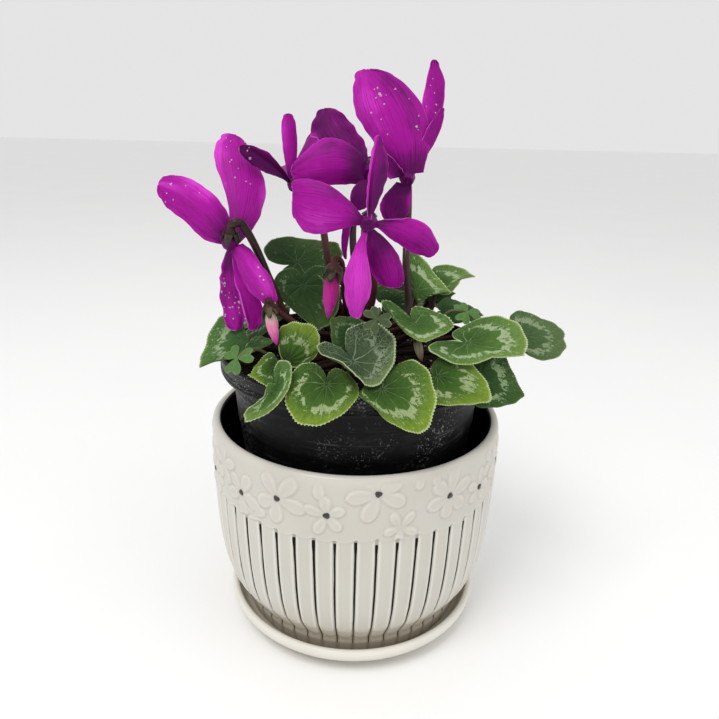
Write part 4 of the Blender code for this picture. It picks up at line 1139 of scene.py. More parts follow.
def makeTuber():
    arc = np.linspace(0, math.pi, 22)
    profile = [(tuber["radius"] * math.sin(a), tuber["soilTop"] - tuber["halfHeight"] * math.cos(a))
               for a in arc]

    def corky(turn, radius, height, step):
        rough = 0.35 * ripple(4 * turn, height / 2, 2.0) * np.sin(np.pi * step / (len(arc) - 1))
        return radius + rough, height

    body = turned("tuberBody", profile, 48, corky)
    stems = [body]
    for name, row in allLeaves().items():
        path = petioleLine(row)
        radii = lookup(np.linspace(0, 1, len(path)), [0, 0.3, 0.8, 1], tuber["stalkRadii"])
        radii[0] = radii[-1] = 0
        stems.append(tubeOf("petiole_" + name, path, radii, 10))
    bark = skinFinish("tuberBark", (0.05, 0.028, 0.018), (0.13, 0.075, 0.045), 90.0, 0.6, 0.5)
    body.data.materials.append(bark)
    stemFinish = skinFinish("leafStalk", (0.016, 0.007, 0.006), (0.045, 0.018, 0.013), 50.0, 0.5, 0.2)
    for stalk in stems[1:]:
        stalk.data.materials.append(stemFinish)
    piece = joined("tuberAndLeafStalks", stems)
    smooth(piece, 60)
    mount(piece, "tuber_and_petioles", "tuber")


makeLeaves()
makeTuber()
print("leaves and tuber done")


# Blooms

# A petal runs from the rim of the tube through the middle of its length to its tip. left and
# right are its widest points, leftWide and rightWide its half widths in percent at each
# station. curls roll an edge: side, where it starts across, degrees, and from where to where
# along. folds press it lengthwise: side, reach, depth. Both turn towards the front, and less
# than 0 away from it. tone is its brightness, painted light and shade. glow paints light and
# shade on it, brighter where amount is above 0 and darker where it is below: side, along, reach, amount.
blooms = {
    "1": dict(mouth=(-65, -35, 234), axis=(-0.15, 0.3, -0.95), petals=[
        dict(tip=(-68, 8, 285), middle=(-62, -10, 260), left=(-78, -4, 270), right=(-51, 2, 262),
             leftWide=(12, 24, 42, 74, 96, 100, 82, 50, 0), rightWide=(30, 60, 90, 102, 98, 80, 52, 32, 0),
             tone=0.45, cup=-2.0, paintedLightAndShade=[(0.9, 0.8, 0.4, 0.45), (-0.9, 0.5, 0.3, 0.3)], dew=14),
        dict(tip=(-101, -28, 261), middle=(-82, -33, 251), left=(-82, -29, 265), right=(-88, -32, 243),
             leftWide=(85, 98, 100, 95, 90, 80, 62, 40, 12), rightWide=(15, 50, 92, 100, 88, 84, 78, 30, 0),
             tone=0.45, folds=[(0.1, 0.16, 1.6), (-0.75, 0.1, -1.0)], waves=(7, 0.6), dew=8,
             paintedLightAndShade=[(0.8, 0.5, 0.5, 0.35), (0.3, 0.95, 0.3, 0.4)]),
        dict(tip=(-65, -30, 187), middle=(-67, -32, 211), left=(-73, -29, 205), right=(-60, -31, 206),
             leftWide=(25, 50, 84, 86, 104, 86, 98, 75, 0), rightWide=(25, 45, 75, 95, 100, 97, 85, 55, 0),
             tone=0.3, waves=(6, 0.7), curls=[(1, 0.45, 170, 0.18, 0.42)], dew=22,
             paintedLightAndShade=[(0.9, 0.3, 0.25, 0.6), (0, 0.9, 0.4, 0.3)]),
        dict(tip=(-44, -40, 205), middle=(-52, -43, 222), left=(-44, -40, 220), right=(-59, -39, 214),
             leftWide=(60, 95, 100, 100, 100, 84, 64, 46, 20),
             rightWide=(30, 50, 76, 98, 100, 92, 76, 50, 16),
             tone=0.6, cup=-2.2, paintedLightAndShade=[(0.2, 0.7, 0.5, 0.35), (0, 0.0, 0.3, 0.2)], dew=4),
        dict(tip=(-55, -35, 189), middle=(-59, -37, 208), left=(-50, -33, 201), right=(-61, -36, 199),
             leftWide=(24, 40, 70, 95, 100, 90, 68, 40, 0), rightWide=(24, 40, 70, 100, 104, 92, 70, 42, 0),
             tone=0.55, curls=[(-1, 0.0, 110, 0.3, 0.97)], paintedLightAndShade=[(-0.8, 0.7, 0.6, 0.45)]),
    ]),
    "2": dict(mouth=(-38, 18, 259), axis=(-0.8, 0.4, -0.4), petals=[
        dict(tip=(-63, -12, 279), middle=(-52, -2, 274), left=(-53, -3, 278), right=(-55, -3, 269),
             leftWide=(24, 45, 80, 104, 100, 92, 76, 50, 0), rightWide=(24, 40, 75, 100, 104, 96, 74, 45, 0),
             tone=0.04, cup=1.2, folds=[(0.0, 0.25, -0.8)], dew=3, paintedLightAndShade=[(1, 0.5, 0.3, 0.35)]),
        dict(tip=(-41, 22, 297), middle=(-40, 20, 278), left=(-45, 21, 284), right=(-36, 22, 284),
             leftWide=(40, 60, 84, 96, 100, 97, 88, 60, 0), rightWide=(40, 55, 80, 96, 100, 96, 80, 50, 0),
             tone=0.5, cup=-1.0, paintedLightAndShade=[(0.6, 0.8, 0.5, 0.35)]),
        dict(tip=(-24, 38, 292), middle=(-32, 30, 277), left=(-34, 38, 280), right=(-20, 30, 281), tone=0.3),
        dict(tip=(-14, 42, 262), middle=(-25, 32, 264), left=(-28, 42, 266), right=(-13, 28, 266), tone=0.3),
        dict(tip=(-52, 48, 266), middle=(-45, 33, 266), left=(-56, 35, 267), right=(-40, 44, 271), tone=0.3),
    ]),
    "3": dict(mouth=(5, 8, 268), axis=(0.0, -0.8, -0.5), petals=[
        dict(tip=(-21, 20, 300), middle=(-14, 14, 285), left=(-28, 18, 283), right=(-3, 17, 289),
             leftWide=(24, 40, 70, 96, 100, 84, 56, 36, 16), rightWide=(24, 50, 88, 104, 100, 92, 74, 44, 8),
             tone=0.14, waves=(9, 0.8), curls=[(1, 0.6, 160, 0.35, 0.7)], paintedLightAndShade=[(0.95, 0.5, 0.25, 0.8)]),
        dict(tip=(-38, 4, 267), middle=(-15, 1, 274), left=(-21, 4, 261), right=(-21, 7, 285),
             leftWide=(60, 84, 110, 116, 104, 88, 62, 34, 0), rightWide=(40, 66, 92, 104, 100, 84, 58, 30, 0),
             tone=0.3, cup=-1.5, paintedLightAndShade=[(0.3, 0.7, 0.5, 0.4), (-0.9, 0.9, 0.3, 0.2)]),
        dict(tip=(-8, 10, 219), middle=(-7, 10, 242), left=(-10, 10, 235), right=(-6, 10, 233), tone=0.3),
        dict(tip=(-3, 5, 248), middle=(2, 5, 257), left=(-5, 5, 258), right=(6, 5, 252), tone=0.05),
        dict(tip=(29, 30, 293), middle=(20, 17, 283), left=(15, 27, 288), right=(29, 20, 283), tone=0.4),
    ]),
    "4": dict(mouth=(4, -46, 247), axis=(0.0, -0.95, -0.3), petals=[
        dict(tip=(-33, -39, 257), middle=(-13, -48, 255), left=(-22, -42, 240), right=(-20, -42, 267),
             leftWide=(16, 34, 62, 88, 102, 98, 78, 54, 24), rightWide=(16, 34, 66, 92, 100, 92, 82, 70, 44),
             tone=0.42, cup=-2.0, waves=(5, 0.5), paintedLightAndShade=[(0.5, 0.6, 0.5, 0.4), (-0.9, 0.6, 0.5, -0.15)]),
        dict(tip=(8, -38, 287), middle=(6, -43, 268), left=(4, -44, 273), right=(13, -36, 273),
             leftWide=(20, 44, 80, 100, 100, 90, 66, 40, 0), rightWide=(20, 50, 84, 100, 100, 84, 55, 28, 0),
             tone=0.2, folds=[(0.1, 0.25, -2.4)], waves=(13, 0.5),
             paintedLightAndShade=[(0.6, 0.75, 0.6, 0.8), (0.8, 0.3, 0.3, 0.4), (-0.8, 0.5, 0.5, -0.2)]),
        dict(tip=(38, -42, 233), middle=(23, -48, 244), left=(30, -44, 248), right=(21, -43, 236),
             leftWide=(24, 46, 74, 92, 100, 94, 74, 46, 0), rightWide=(16, 36, 74, 98, 100, 96, 84, 62, 30),
             tone=0.35, waves=(5, 0.5), curls=[(1, 0.5, 120, 0.02, 0.45)], paintedLightAndShade=[(0.9, 0.7, 0.3, 0.2)]),
        dict(tip=(17, -34, 213), middle=(12, -42, 231), left=(22, -38, 226), right=(3, -40, 229),
             leftWide=(18, 44, 76, 96, 100, 97, 84, 58, 10), rightWide=(18, 36, 68, 94, 100, 98, 86, 60, 10),
             tone=0.25, cup=-1.5, paintedLightAndShade=[(0.2, 0.85, 0.4, 0.25)]),
        dict(tip=(-1, -50, 201), middle=(-1, -53, 227), left=(7, -48, 217), right=(-8, -48, 219),
             leftWide=(14, 22, 48, 84, 100, 88, 58, 32, 0), rightWide=(14, 24, 55, 90, 100, 90, 64, 36, 0),
             tone=0.85, cup=-1.2, curls=[(1, 0.55, 80, 0.03, 0.3)], paintedLightAndShade=[(0.3, 0.7, 0.5, 0.2)]),
    ]),
    "5": dict(mouth=(25, 2, 265), axis=(0.0, -0.8, -0.6), petals=[
        dict(tip=(2, 7, 319), middle=(17, -1, 292), left=(-4, 7, 296), right=(34, 6, 300),
             leftWide=(35, 48, 70, 92, 100, 88, 64, 38, 12), rightWide=(50, 62, 82, 98, 100, 92, 74, 50, 12),
             tone=0.42, cup=-2.0, waves=(4, 0.5), dew=16,
             paintedLightAndShade=[(0.5, 0.8, 0.5, 0.4), (-0.7, 0.85, 0.4, -0.2), (0.1, 0.35, 0.4, 0.12)]),
        dict(tip=(37, 14, 325), middle=(37, 10, 296), left=(32, 10, 306), right=(44, 14, 307),
             leftWide=(24, 40, 72, 97, 100, 86, 60, 34, 0), rightWide=(24, 40, 76, 100, 102, 88, 62, 36, 0),
             tone=0.35, folds=[(0.0, 0.4, 0.8)], dew=6, paintedLightAndShade=[(0.6, 0.6, 0.5, 0.25)]),
        dict(tip=(42, 3, 301), middle=(36, 3, 284), left=(32, 1, 285), right=(41, 4, 288),
             leftWide=(24, 40, 70, 95, 100, 90, 66, 38, 0), rightWide=(24, 44, 76, 98, 100, 88, 62, 32, 0),
             tone=0.35, cup=-0.8),
        dict(tip=(19, 6, 240), middle=(20, 4, 252), left=(28, 6, 251), right=(11, 6, 251),
             leftWide=(50, 60, 78, 95, 100, 95, 80, 55, 0), rightWide=(50, 60, 78, 95, 100, 95, 80, 55, 0),
             tone=0.1, paintedLightAndShade=[(0.9, 0.5, 0.3, 0.4)]),
        dict(tip=(11, -5, 278), middle=(17, -4, 271), left=(14, -3, 266), right=(20, -5, 272), tone=0.1,
             paintedLightAndShade=[(0.9, 0.6, 0.3, 0.4)]),
    ]),
}

petal = dict(thickness=0.4, columns=34, rows=52, ruffle=0.35, tubeRadius=4.2, tubeLength=4.0, rimReach=3.2)
petalShades = dict(dark=(0.095, 0.001, 0.085), mid=(0.360, 0.004, 0.290), light=(0.66, 0.045, 0.57),
                   rim=(0.62, 0.16, 0.55))

stations = [0.0, 0.12, 0.3, 0.48, 0.62, 0.76, 0.88, 0.96, 1.0]
plainWide = (24, 40, 70, 95, 100, 92, 72, 45, 0)
toViewer = np.array([0.0, -1.0, 0.45])


def edgeCurve(amounts, value):
    # a smooth rise and fall through the stations, square at the end where it isn't 0 there
    steps, reach, endFrom = 400, 17, 0.93
    fine = np.linspace(0, 1, steps + 1)
    rough = lookup(fine, stations, amounts) / 100
    kernel = np.hanning(2 * reach + 1)
    softened = np.convolve(np.pad(rough, reach, mode="edge"), kernel / kernel.sum(), "valid")
    share = np.clip((fine - endFrom) / (1 - endFrom), 0, 1)
    last = softened[round(endFrom * steps)]
    end = rough[-1] + (last - rough[-1]) * np.sqrt(np.clip(1 - share ** 2, 0, 1))
    return lookup(value, fine, np.where(fine < endFrom, softened, end))


def petalTerms(u, v):
    return np.stack([np.ones_like(u), u, v, u * u, v * v], -1)


petalSpots = np.array([(0, 0), (1, 0), (0.5, 0), (0.62, 1), (0.62, -1)], float)
petalInverse = np.linalg.inv(petalTerms(petalSpots[:, 0], petalSpots[:, 1]))


def petalRoot(row, each):
    # petals spring from the rim of the tube, on the side that they grow to
    axis, mouth = unit(row["axis"]), np.array(row["mouth"], float)
    way = np.array(each["middle"], float) - mouth
    return mouth + unit(way - axis * (way @ axis)) * petal["rimReach"]


def petalSurface(row, each, seed):
    # a function from along (0 to 1) and side (-1 to 1) to a place, with its folds and curls
    pins = [each[key] for key in ("tip", "middle", "left", "right")]
    spots = np.array([petalRoot(row, each), *pins], float)
    weights = petalInverse @ spots
    length = np.linalg.norm(spots[1] - spots[0])

    def sheet(u, v):
        return petalTerms(u, v) @ weights

    def frontNormals(u, v):
        normals = sheetNormals(sheet, u, v)
        facing = np.sign(normals @ toViewer)
        return normals * np.where(facing == 0, 1, facing)[:, None]

    def surface(along, side):
        wide = np.where(side > 0, edgeCurve(each.get("leftWide", plainWide), along),
                        edgeCurve(each.get("rightWide", plainWide), along))
        wide = wide * (1 + 0.02 * ripple(along * 9, np.sign(side) * 2, seed))
        flatSide = side
        for which, start, *_ in each.get("curls", []):
            flatSide = np.where(side * which > start, which * start, flatSide)
        v = flatSide * wide
        normals = frontNormals(along, v)
        spot = sheet(along, v)
        for which, start, degrees, low, high in each.get("curls", []):
            rolled = side * which > start
            edge = sheet(along, side * wide) - spot
            reach = np.linalg.norm(edge, axis=1)
            across = edge / (reach[:, None] + 1e-9)
            ramp = np.clip((along - low) / 0.12, 0, 1) * np.clip((high - along) / 0.12, 0, 1)
            angle = math.radians(degrees) * ramp * np.clip((side * which - start) / (1 - start), 0, 1) + 1e-6
            bent = across * (reach * np.sin(angle) / angle)[:, None]
            bent = bent + normals * (reach * (1 - np.cos(angle)) / angle)[:, None]
            spot = np.where(rolled[:, None], spot + bent, spot)
        count, height = each.get("waves", (6, petal["ruffle"]))
        rise = height * np.sin(count * math.pi * along + np.sign(side) + seed) * abs(side) ** 3 * along
        ruffle = petal["ruffle"] * ripple(along * 6, side * 2.5, seed) * length / 40
        rise += ruffle * (abs(side) ** 3 + along ** 6)
        rise += each.get("cup", 0) * side ** 2 * np.sin(math.pi * np.clip(along, 0, 1) ** 0.8)
        for middle, reach, depth in each.get("folds", []):
            rise += depth * bump(side, middle, reach) * np.sin(math.pi * along ** 0.8)
        rise += 0.06 * np.sin(side * 37 + 2 * along) * np.sin(math.pi * along)
        return spot + normals * rise[:, None]

    return surface


def makePetal(row, each, seed, skin):
    surface = petalSurface(row, each, seed)
    piece = sheetOf("petal", petal["columns"], petal["rows"])
    flat = pointsOf(piece)
    side = np.sin(flat[:, 0] * math.pi / 2) * 0.35 + flat[:, 0] * 0.65
    along = 1 - (1 - (flat[:, 1] + 1) / 2) ** 1.25
    place(piece, surface(along, side))
    addUv(piece, "streaks", np.stack([side * 9 + seed * 3.1, along * 1.6 + seed * 7.7], 1))
    # tone and glow paint light and shade onto the petal
    tone = np.full(len(side), float(each["tone"]))
    for across, level, reach, amount in each.get("paintedLightAndShade", []):
        tone += amount * np.exp(-(((side - across) ** 2 + 2 * (along - level) ** 2) / reach ** 2))
    paint(piece, "tone", tone)
    close(piece, 0.01)
    outward(piece, unit(row["axis"]))
    thicken(piece, petal["thickness"], [skin])
    return piece


def makeDew(row, number, skin):
    # drops of water that lie on the petals
    draw = np.random.default_rng(40 + number)
    drops = []
    for k, each in enumerate(row["petals"]):
        surface = petalSurface(row, each, number * 5 + k)
        for _ in range(each.get("dew", 0)):
            along, side = draw.uniform(0.35, 0.95), draw.uniform(-0.8, 0.8)
            size = draw.choice([0.35, 0.45, 0.55, 0.8], p=[0.4, 0.3, 0.2, 0.1])
            spots = surface(np.array([along, along + 0.01, along]), np.array([side, side, side + 0.02]))
            normal = unit(np.cross(spots[1] - spots[0], spots[2] - spots[0]))
            if normal @ toViewer < 0:
                normal = -normal
            bpy.ops.object.select_all(action="DESELECT")
            bpy.ops.mesh.primitive_uv_sphere_add(segments=10, ring_count=6, radius=1)
            drop = bpy.context.object
            ball = pointsOf(drop)
            ball = ball - normal * (ball @ normal)[:, None] * 0.45
            place(drop, spots[0] + normal * (petal["thickness"] / 2 + 0.1) + ball * size)
            drops.append(drop)
    if drops:
        piece = joined("dewDrops_" + str(number), drops)
        piece.data.materials.append(skin)
        smooth(piece, 80)
        mount(piece, "petal")


def makeBloom(name, row, skin, throat):
    # five petals around a short tube, with the pistil in its mouth
    axis, mouth = unit(row["axis"]), np.array(row["mouth"], float)
    parts = [makePetal(row, each, int(name) * 5 + k, skin) for k, each in enumerate(row["petals"])]
    back = mouth - axis * petal["tubeLength"]
    r = petal["tubeRadius"]
    path = [back, back, back + axis * 1.0, back + axis * 2.5, mouth, mouth + axis * 1.5, mouth + axis * 2.4,
            mouth + axis * 1.6, mouth - axis * 1.0, mouth - axis * 1.0]
    radii = [0, r - 0.9, r - 0.1, r + 0.1, r, r - 0.5, r - 1.1, r - 1.7, r - 2.0, 0]
    path = [p + axis * 0.001 * k for k, p in enumerate(path)]
    tube = tubeOf("tube", path, radii, 24, lambda turn, radius, _: radius * (1 + 0.05 * np.cos(5 * turn)))
    tube.data.materials.append(throat)
    pistil = tubeOf("pistil", [mouth + axis * t for t in (-1, -0.9, 0, 1.5, 3.0, 3.6, 3.7)],
                    [0, 0.5, 0.45, 0.4, 0.4, 0.5, 0], 10)
    pistil.data.materials.append(throat)
    piece = joined("bloomHead_" + name, parts + [tube, pistil])
    smooth(piece, 60)
    mount(piece, "petal", "bloom_" + name)


# A stalk runs through its points, from the crown of the tuber to the back of its bloom.
stalks = {
    "1": [(-9, 1, 176), (-26, -11, 182), (-38, -22, 192), (-46, -28, 213), (-53, -33, 233), (-58, -38, 244),
          (-61, -40, 245)],
    "2": [(-6, 7, 178), (-13, -1, 200), (-18, -3, 225), (-22, 4, 246), (-26, 11, 259)],
    "3": [(2, 8, 178), (-1, 5, 205), (-4, 12, 232), (-2, 22, 254), (2, 25, 270)],
    "4": [(-1, -9, 176), (5, -19, 192), (8, -29, 214), (3, -32, 232), (3, -31, 246)],
    "5": [(8, -4, 176), (16, -16, 186), (25, -18, 192), (28, -15, 200), (26, -9, 216), (26, -3, 228),
          (27, 9, 240), (27, 15, 255), (26, 19, 270)],
}

stem = dict(radius=2.2, holeDepth=5.0, gap=0.3)
sepal = dict(count=5, length=5.5, width=1.9, radius=3.5, thickness=0.5, back=2.2)


def stalkFoot(points):
    x, y, _ = points[0]
    return np.array([x, y, tuberHeight(math.hypot(x, y)) - stem["holeDepth"]])


def calyxOf(seat, axis, first, skin, *sizes):
    # five sepals around the end of a stalk
    side = unit(np.cross(axis, (0.2, 0.5, 1.0)))
    other = np.cross(axis, side)
    sepals = []
    for k in range(sepal["count"]):
        turn = 2 * math.pi * k / sepal["count"] + first
        out = side * math.cos(turn) + other * math.sin(turn)
        sepals.append(makeSepal(seat, axis, out, skin, *sizes))
    return sepals


def makeStalk(name, row, stalkSkin, calyxSkin):
    # the stalk, with the calyx as a five-pointed flare at its end
    axis = unit(row["axis"])
    seat = np.array(row["mouth"], float) - axis * (petal["tubeLength"] + stem["gap"])
    points = stalks[name]
    route = rounded([stalkFoot(points), *points, seat - axis * 6.0, seat - axis * 4.0])
    steps = np.linspace(0, 1, len(route))
    radii = stem["radius"] * (1 + 0.08 * np.cos(7 * steps)) * lookup(steps, [0, 0.8, 1], [1.05, 0.95, 1.0])
    path = [route[0] - (0, 0, 0.01), *route, seat - axis * 2.6, seat - axis * 1.2, seat - axis * 0.2, seat]
    radii = [0, *radii, 3.1, 3.6, 3.1, 0]
    shaft = tubeOf("stalk", path, radii, 18)
    shaft.data.materials.append(stalkSkin)
    piece = joined("bloomStalk_" + name, [shaft, *calyxOf(seat, axis, 0.12 * math.pi, calyxSkin)])
    smooth(piece, 60)
    mount(piece, "flower_stalk", "bloom_" + name + "_stalk")


def makeSepal(seat, axis, out, skin, length=sepal["length"], width=sepal["width"], radius=sepal["radius"]):
    # a small pointed scale that lies against the tube
    piece = sheetOf("sepal", 6, 10)
    flat = pointsOf(piece)
    along = (flat[:, 1] + 1) / 2
    across = np.cross(axis, out)
    half = width * np.sqrt(np.clip(1 - along ** 1.8, 0, 1))
    bulge = radius + 1.2 * np.sin(along * 2.2) - 0.35 * (flat[:, 0] * half) ** 2 / 3
    place(piece, seat - axis * sepal["back"] + axis[None, :] * (along * length)[:, None]
          + across[None, :] * (flat[:, 0] * half)[:, None] + out[None, :] * bulge[:, None])
    close(piece, 0.01)
    thicken(piece, sepal["thickness"], [skin])
    return piece


def makeBlooms():
    upper = petalFinish("magentaPetal", petalShades)
    dew = speckledFinish("dewDrop", 500.0, (0.85, 0.62, 0.85), (0.97, 0.9, 0.97),
                         **{"Transmission Weight": 0.6, "IOR": 1.33, "Roughness": 0.08})
    throatShades = dict(petalShades, mid=(0.2, 0.004, 0.16), light=(0.45, 0.02, 0.38))
    throat = petalFinish("petalThroat", throatShades)
    stalkSkin = skinFinish("flowerStalk", (0.022, 0.007, 0.008), (0.075, 0.018, 0.017), 45.0, 0.32,
                           0.15, 0.15)
    calyxSkin = skinFinish("calyx", (0.010, 0.007, 0.005), (0.045, 0.036, 0.018), 160.0, 0.3, 0.3, 0.4)
    for name, row in blooms.items():
        makeBloom(name, row, upper, throat)
        makeStalk(name, row, stalkSkin, calyxSkin)
        makeDew(row, int(name), dew)


makeBlooms()
print("blooms done")


# Buds

# A bud hangs by its hooked stalk: neck is where its petals start, and twist how far they furl.
buds = {
    "1": dict(neck=(-13, -31, 220), tip=(-16, -32, 195), radius=4.3, twist=1.1, shades="deep",
              stalk=[(0, 0, 178), (-6, -12, 192), (-8, -24, 212), (-9, -28, 224), (-12, -30, 227)]),
    "2": dict(neck=(-45, -44, 201), tip=(-41, -48, 185), radius=3.2, twist=0.8, shades="pink",
              stalk=[(-6, -6, 176), (-13, -19, 182), (-25, -30, 187), (-40, -40, 200), (-45, -43, 207)]),
    "3": dict(neck=(31, -38, 186), tip=(34, -43, 176), radius=2.4, twist=0.6, shades="cream",
              stalk=[(5, -8, 176), (14, -21, 184), (27, -31, 191)]),
}

bud = dict(rows=40, columns=48, stalkShare=0.7)    # its stalk is slimmer than a bloom's

# the shades of a bud at its calyx, in its middle and at its tip
budShades = {
    "deep": ((0.26, 0.003, 0.12), (0.50, 0.010, 0.26), (0.64, 0.04, 0.42)),
    "pink": ((0.50, 0.42, 0.32), (0.72, 0.20, 0.40), (0.62, 0.02, 0.38)),
    "cream": ((0.34, 0.36, 0.20), (0.55, 0.50, 0.32), (0.42, 0.13, 0.12)),
}


def budFinish(name, shades):
    made, tree, shader = finish(name, **{"Specular IOR Level": 0.3, "Sheen Weight": 0.1})
    spread = uvPlace(tree, "UVMap")
    _, along, _ = split(spread)
    threads = cloud(spread, 1.0, 3.0, 0.6, (30.0, 3.0, 1.0))
    level = threads * 0.35 + along - 0.17
    shade = blend(ease(level, 0.1, 0.5), shades[0], shades[1])
    wear(shader, blend(ease(level, 0.5, 1.0), shade, shades[2]), threads * 0.2 + 0.35)
    emboss(shader, threads, 0.2, 0.0005)
    return made


def makeBud(name, row, calyxSkin, stalkSkin):
    neck, tip = np.array(row["neck"], float), np.array(row["tip"], float)
    axis = unit(tip - neck)
    shares = np.linspace(0, 1, bud["rows"])
    swell = lookup(shares, [0, 0.12, 0.35, 0.6, 0.82, 0.95, 1.0], [0.72, 0.92, 1.0, 0.86, 0.52, 0.2, 0.0])
    path = [neck - axis * 0.01, *[neck + (tip - neck) * t for t in shares]]
    radii = [0, *(swell * row["radius"])]

    def furl(turn, radius, share):
        # three petals that overlap, each with a step at its edge
        twist = 3 * (turn + row["twist"] * 2 * share)
        saw = (twist / (2 * math.pi)) % 1.0
        return radius * (0.90 + 0.14 * saw - 0.10 * np.clip(1 - saw * 8, 0, 1))

    body = tubeOf("bud", path, radii, bud["columns"], furl)
    body.data.materials.append(budFinish("furledBud_" + name, budShades[row["shades"]]))
    smooth(body, 60)
    body.name = "budHead_" + name
    mount(body, "petal", "bud_" + name)

    seat = neck - axis * stem["gap"]
    slim = bud["stalkShare"] * stem["radius"]
    route = rounded([stalkFoot(row["stalk"]), *row["stalk"], seat - axis * 4.5])
    radii = [0, *([slim] * len(route)), row["radius"] * 0.8, row["radius"] * 1.06, row["radius"] * 1.0, 0]
    path = [route[0] - (0, 0, 0.01), *route, seat - axis * 3.2, seat - axis * 1.8, seat - axis * 0.1, seat]
    shaft = tubeOf("stalk", path, radii, 16)
    shaft.data.materials.append(stalkSkin)
    sizes = (row["radius"] * share for share in (1.7, 0.62, 0.92))
    piece = joined("budStalk_" + name, [shaft, *calyxOf(seat, axis, 0.4, calyxSkin, *sizes)])
    smooth(piece, 60)
    mount(piece, "flower_stalk", "bud_" + name + "_stalk")


def makeBuds():
    calyxSkin = skinFinish("budCalyx", (0.014, 0.010, 0.006), (0.09, 0.075, 0.035), 260.0, 0.5, 0.6)
    stalkSkin = skinFinish("budStalk", (0.022, 0.008, 0.008), (0.07, 0.020, 0.018), 45.0, 0.35, 0.15)
    for name, row in buds.items():
        makeBud(name, row, calyxSkin, stalkSkin)


makeBuds()
print("buds done")


# Sorrel sprigs

# stem starts with its place in the soil, face is where the three leaflets look
sprigs = {
    "1": dict(stem=[(12, -33), (12, -35, 184), (11, -41, 203), (9, -58, 203)], face=(0.0, -0.7, 0.7), turn=80,
              size=7, tone="dusky"),
    "2": dict(stem=[(-40, -39), (-46, -44, 178), (-53, -52, 184), (-60, -57, 181)], face=(-0.3, -0.6, 0.7),
              turn=200, size=8, tone="green"),
    "3": dict(stem=[(36, -23), (41, -28, 188), (48, -31, 200), (57, -34, 201)], face=(0.1, -0.5, 0.8),
              turn=80, size=7, tone="green"),
}
sorrel = dict(stemRadius=0.8, thickness=0.35, fold=0.18)


def makeLeaflet(head, along, across, normal, size, skin):
    # half a heart on either side of a fold, narrow at the head and notched at its end
    piece = sheetOf("leaflet", 16, 14)
    flat = pointsOf(piece)
    out, side = (flat[:, 1] + 1) / 2, flat[:, 0]
    half = lookup(out, [0, 0.2, 0.4, 0.6, 0.75, 0.88, 0.96, 1.0],
                  [0.03, 0.24, 0.44, 0.55, 0.57, 0.52, 0.42, 0.30])
    reach = out * (1.08 - 0.22 * (1 - abs(side)) ** 1.3 * out)
    droop = -sorrel["fold"] * abs(side * half) - 0.12 * out ** 2
    place(piece, head + size * (along[None, :] * reach[:, None] + across[None, :] * (side * half)[:, None]
                                + normal[None, :] * droop[:, None]))
    close(piece, 0.01)
    outward(piece, normal)
    thicken(piece, sorrel["thickness"], [skin])
    return piece


def sorrelFinish(name, dark, light):
    made, tree, shader = finish(name, **{"Specular IOR Level": 0.1})
    across, along, _ = split(uvPlace(tree, "UVMap"))
    fine = cloud(objectPlace(tree), 500.0, 3.0)
    side = abs(across - 0.5)
    edge = ease(most(side * 2.0, along), 0.9, 1.0, 0.0, 0.5)
    shade = blend(edge, blend(fine, dark, light), (0.22, 0.27, 0.14))
    rib = ease(side, 0.03, 0.0, 0.0, 0.4)
    wear(shader, blend(rib, shade, (0.2, 0.26, 0.12)), fine * 0.2 + 0.5)
    return made


def makeSprigs():
    skins = {"dusky": sorrelFinish("duskySorrel", (0.030, 0.050, 0.022), (0.075, 0.105, 0.045)),
             "green": sorrelFinish("greenSorrel", (0.05, 0.12, 0.03), (0.11, 0.22, 0.06))}
    stemSkin = skinFinish("sorrelStem", (0.06, 0.07, 0.03), (0.12, 0.12, 0.05), 120.0, 0.5, 0.1)
    for name, row in sprigs.items():
        foot = np.array([*row["stem"][0], tuber["soilTop"] - 7.0])
        path = rounded([foot, foot + (0, 0, 12), *row["stem"][1:]])
        shaft = tubeOf("stem", path, [0, *([sorrel["stemRadius"]] * (len(path) - 2)), 0], 8)
        shaft.data.materials.append(stemSkin)
        normal = unit(row["face"])
        side = unit(np.cross(normal, (0.3, 1.0, 0.2)))
        other = np.cross(normal, side)
        parts = [shaft]
        for k in range(3):
            turn = math.radians(row["turn"] + 120 * k)
            along = side * math.cos(turn) + other * math.sin(turn)
            parts.append(makeLeaflet(path[-1], along, np.cross(normal, along), normal, row["size"],
                                     skins[row["tone"]]))
        piece = joined("sorrelSprig_" + name, parts)
        smooth(piece, 60)
        mount(piece, "sorrel", "sorrel_" + name)


makeSprigs()
print("sorrel done")


# Floor, light and camera

view = dict(place=(0, -352.4, 288.0), pitch=19.82, yaw=0.24, roll=1.33, lens=31.53)    # degrees

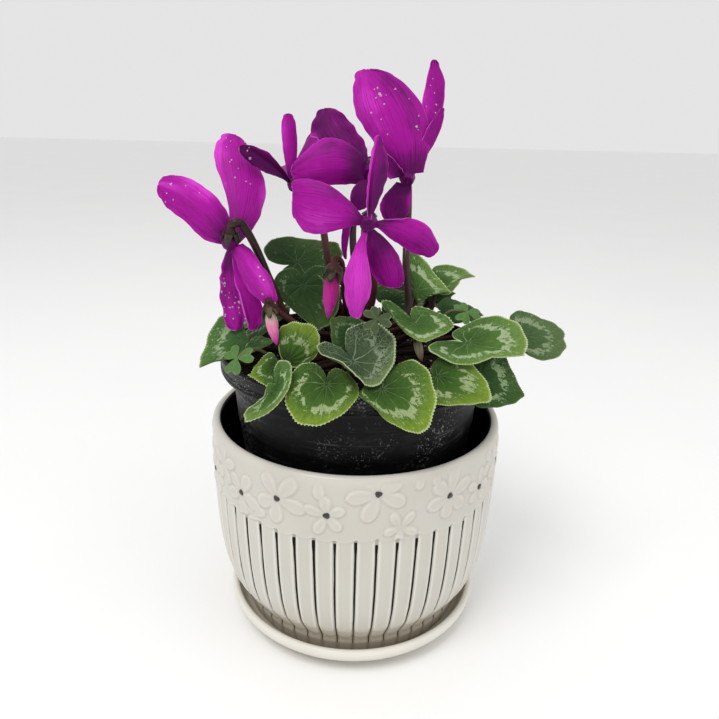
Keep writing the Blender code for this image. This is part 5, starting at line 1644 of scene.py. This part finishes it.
# places and sizes in metres, power in watts: both lamps look at aim, the middle of the plant
aim = (0, 0, 0.15)
lights = {"keyLight": dict(spot=(-0.5, -0.7, 1.5), size=0.7, power=11),
          "fillLight": dict(spot=(0.9, -0.5, 0.9), size=0.8, power=2)}


def makeCamera():
    pitch, yaw, roll = (math.radians(view[key]) for key in ("pitch", "yaw", "roll"))
    ahead = Vector((math.sin(yaw) * math.cos(pitch), math.cos(yaw) * math.cos(pitch), -math.sin(pitch)))
    right = Vector((math.cos(yaw), -math.sin(yaw), 0))
    up = right.cross(ahead)
    side = right * math.cos(roll) + up * math.sin(roll)
    top = up * math.cos(roll) - right * math.sin(roll)
    data = bpy.data.cameras.new("camera")
    data.lens = view["lens"]
    data.sensor_width = 36
    data.clip_start = 0.01
    camera = bpy.data.objects.new("camera", data)
    bpy.context.scene.collection.objects.link(camera)
    matrix = Matrix((side, top, -ahead)).transposed().to_4x4()
    matrix.translation = Vector(view["place"]) * mm
    camera.matrix_world = matrix
    bpy.context.scene.camera = camera


def addLight(name, spot, size, power):
    data = bpy.data.lights.new(name, "AREA")
    data.size = size
    data.energy = power
    lamp = bpy.data.objects.new(name, data)
    bpy.context.scene.collection.objects.link(lamp)
    lamp.location = spot
    lamp.rotation_euler = (Vector(aim) - Vector(spot)).to_track_quat("-Z", "Y").to_euler()


def makeStudio():
    bpy.ops.object.select_all(action="DESELECT")
    bpy.ops.mesh.primitive_plane_add(size=30, location=(0, 0, 0))
    floor = bpy.context.object
    floor.name = "floor"
    made, tree, shader = finish("paleFloor", Roughness=0.7)
    wear(shader, blend(cloud(objectPlace(tree), 4.0, 2.0), (0.90, 0.90, 0.90), (0.94, 0.94, 0.93)))
    floor.data.materials.append(made)
    world = bpy.data.worlds.new("paleRoom")
    bpy.context.scene.world = world
    world.use_nodes = True
    background = world.node_tree.nodes["Background"].inputs
    background["Color"].default_value = (1.0, 1.0, 1.0, 1.0)
    background["Strength"].default_value = 0.78
    for name, lamp in lights.items():
        addLight(name, **lamp)
    bpy.context.scene.view_settings.view_transform = "Standard"


makeCamera()
makeStudio()
print("studio done")
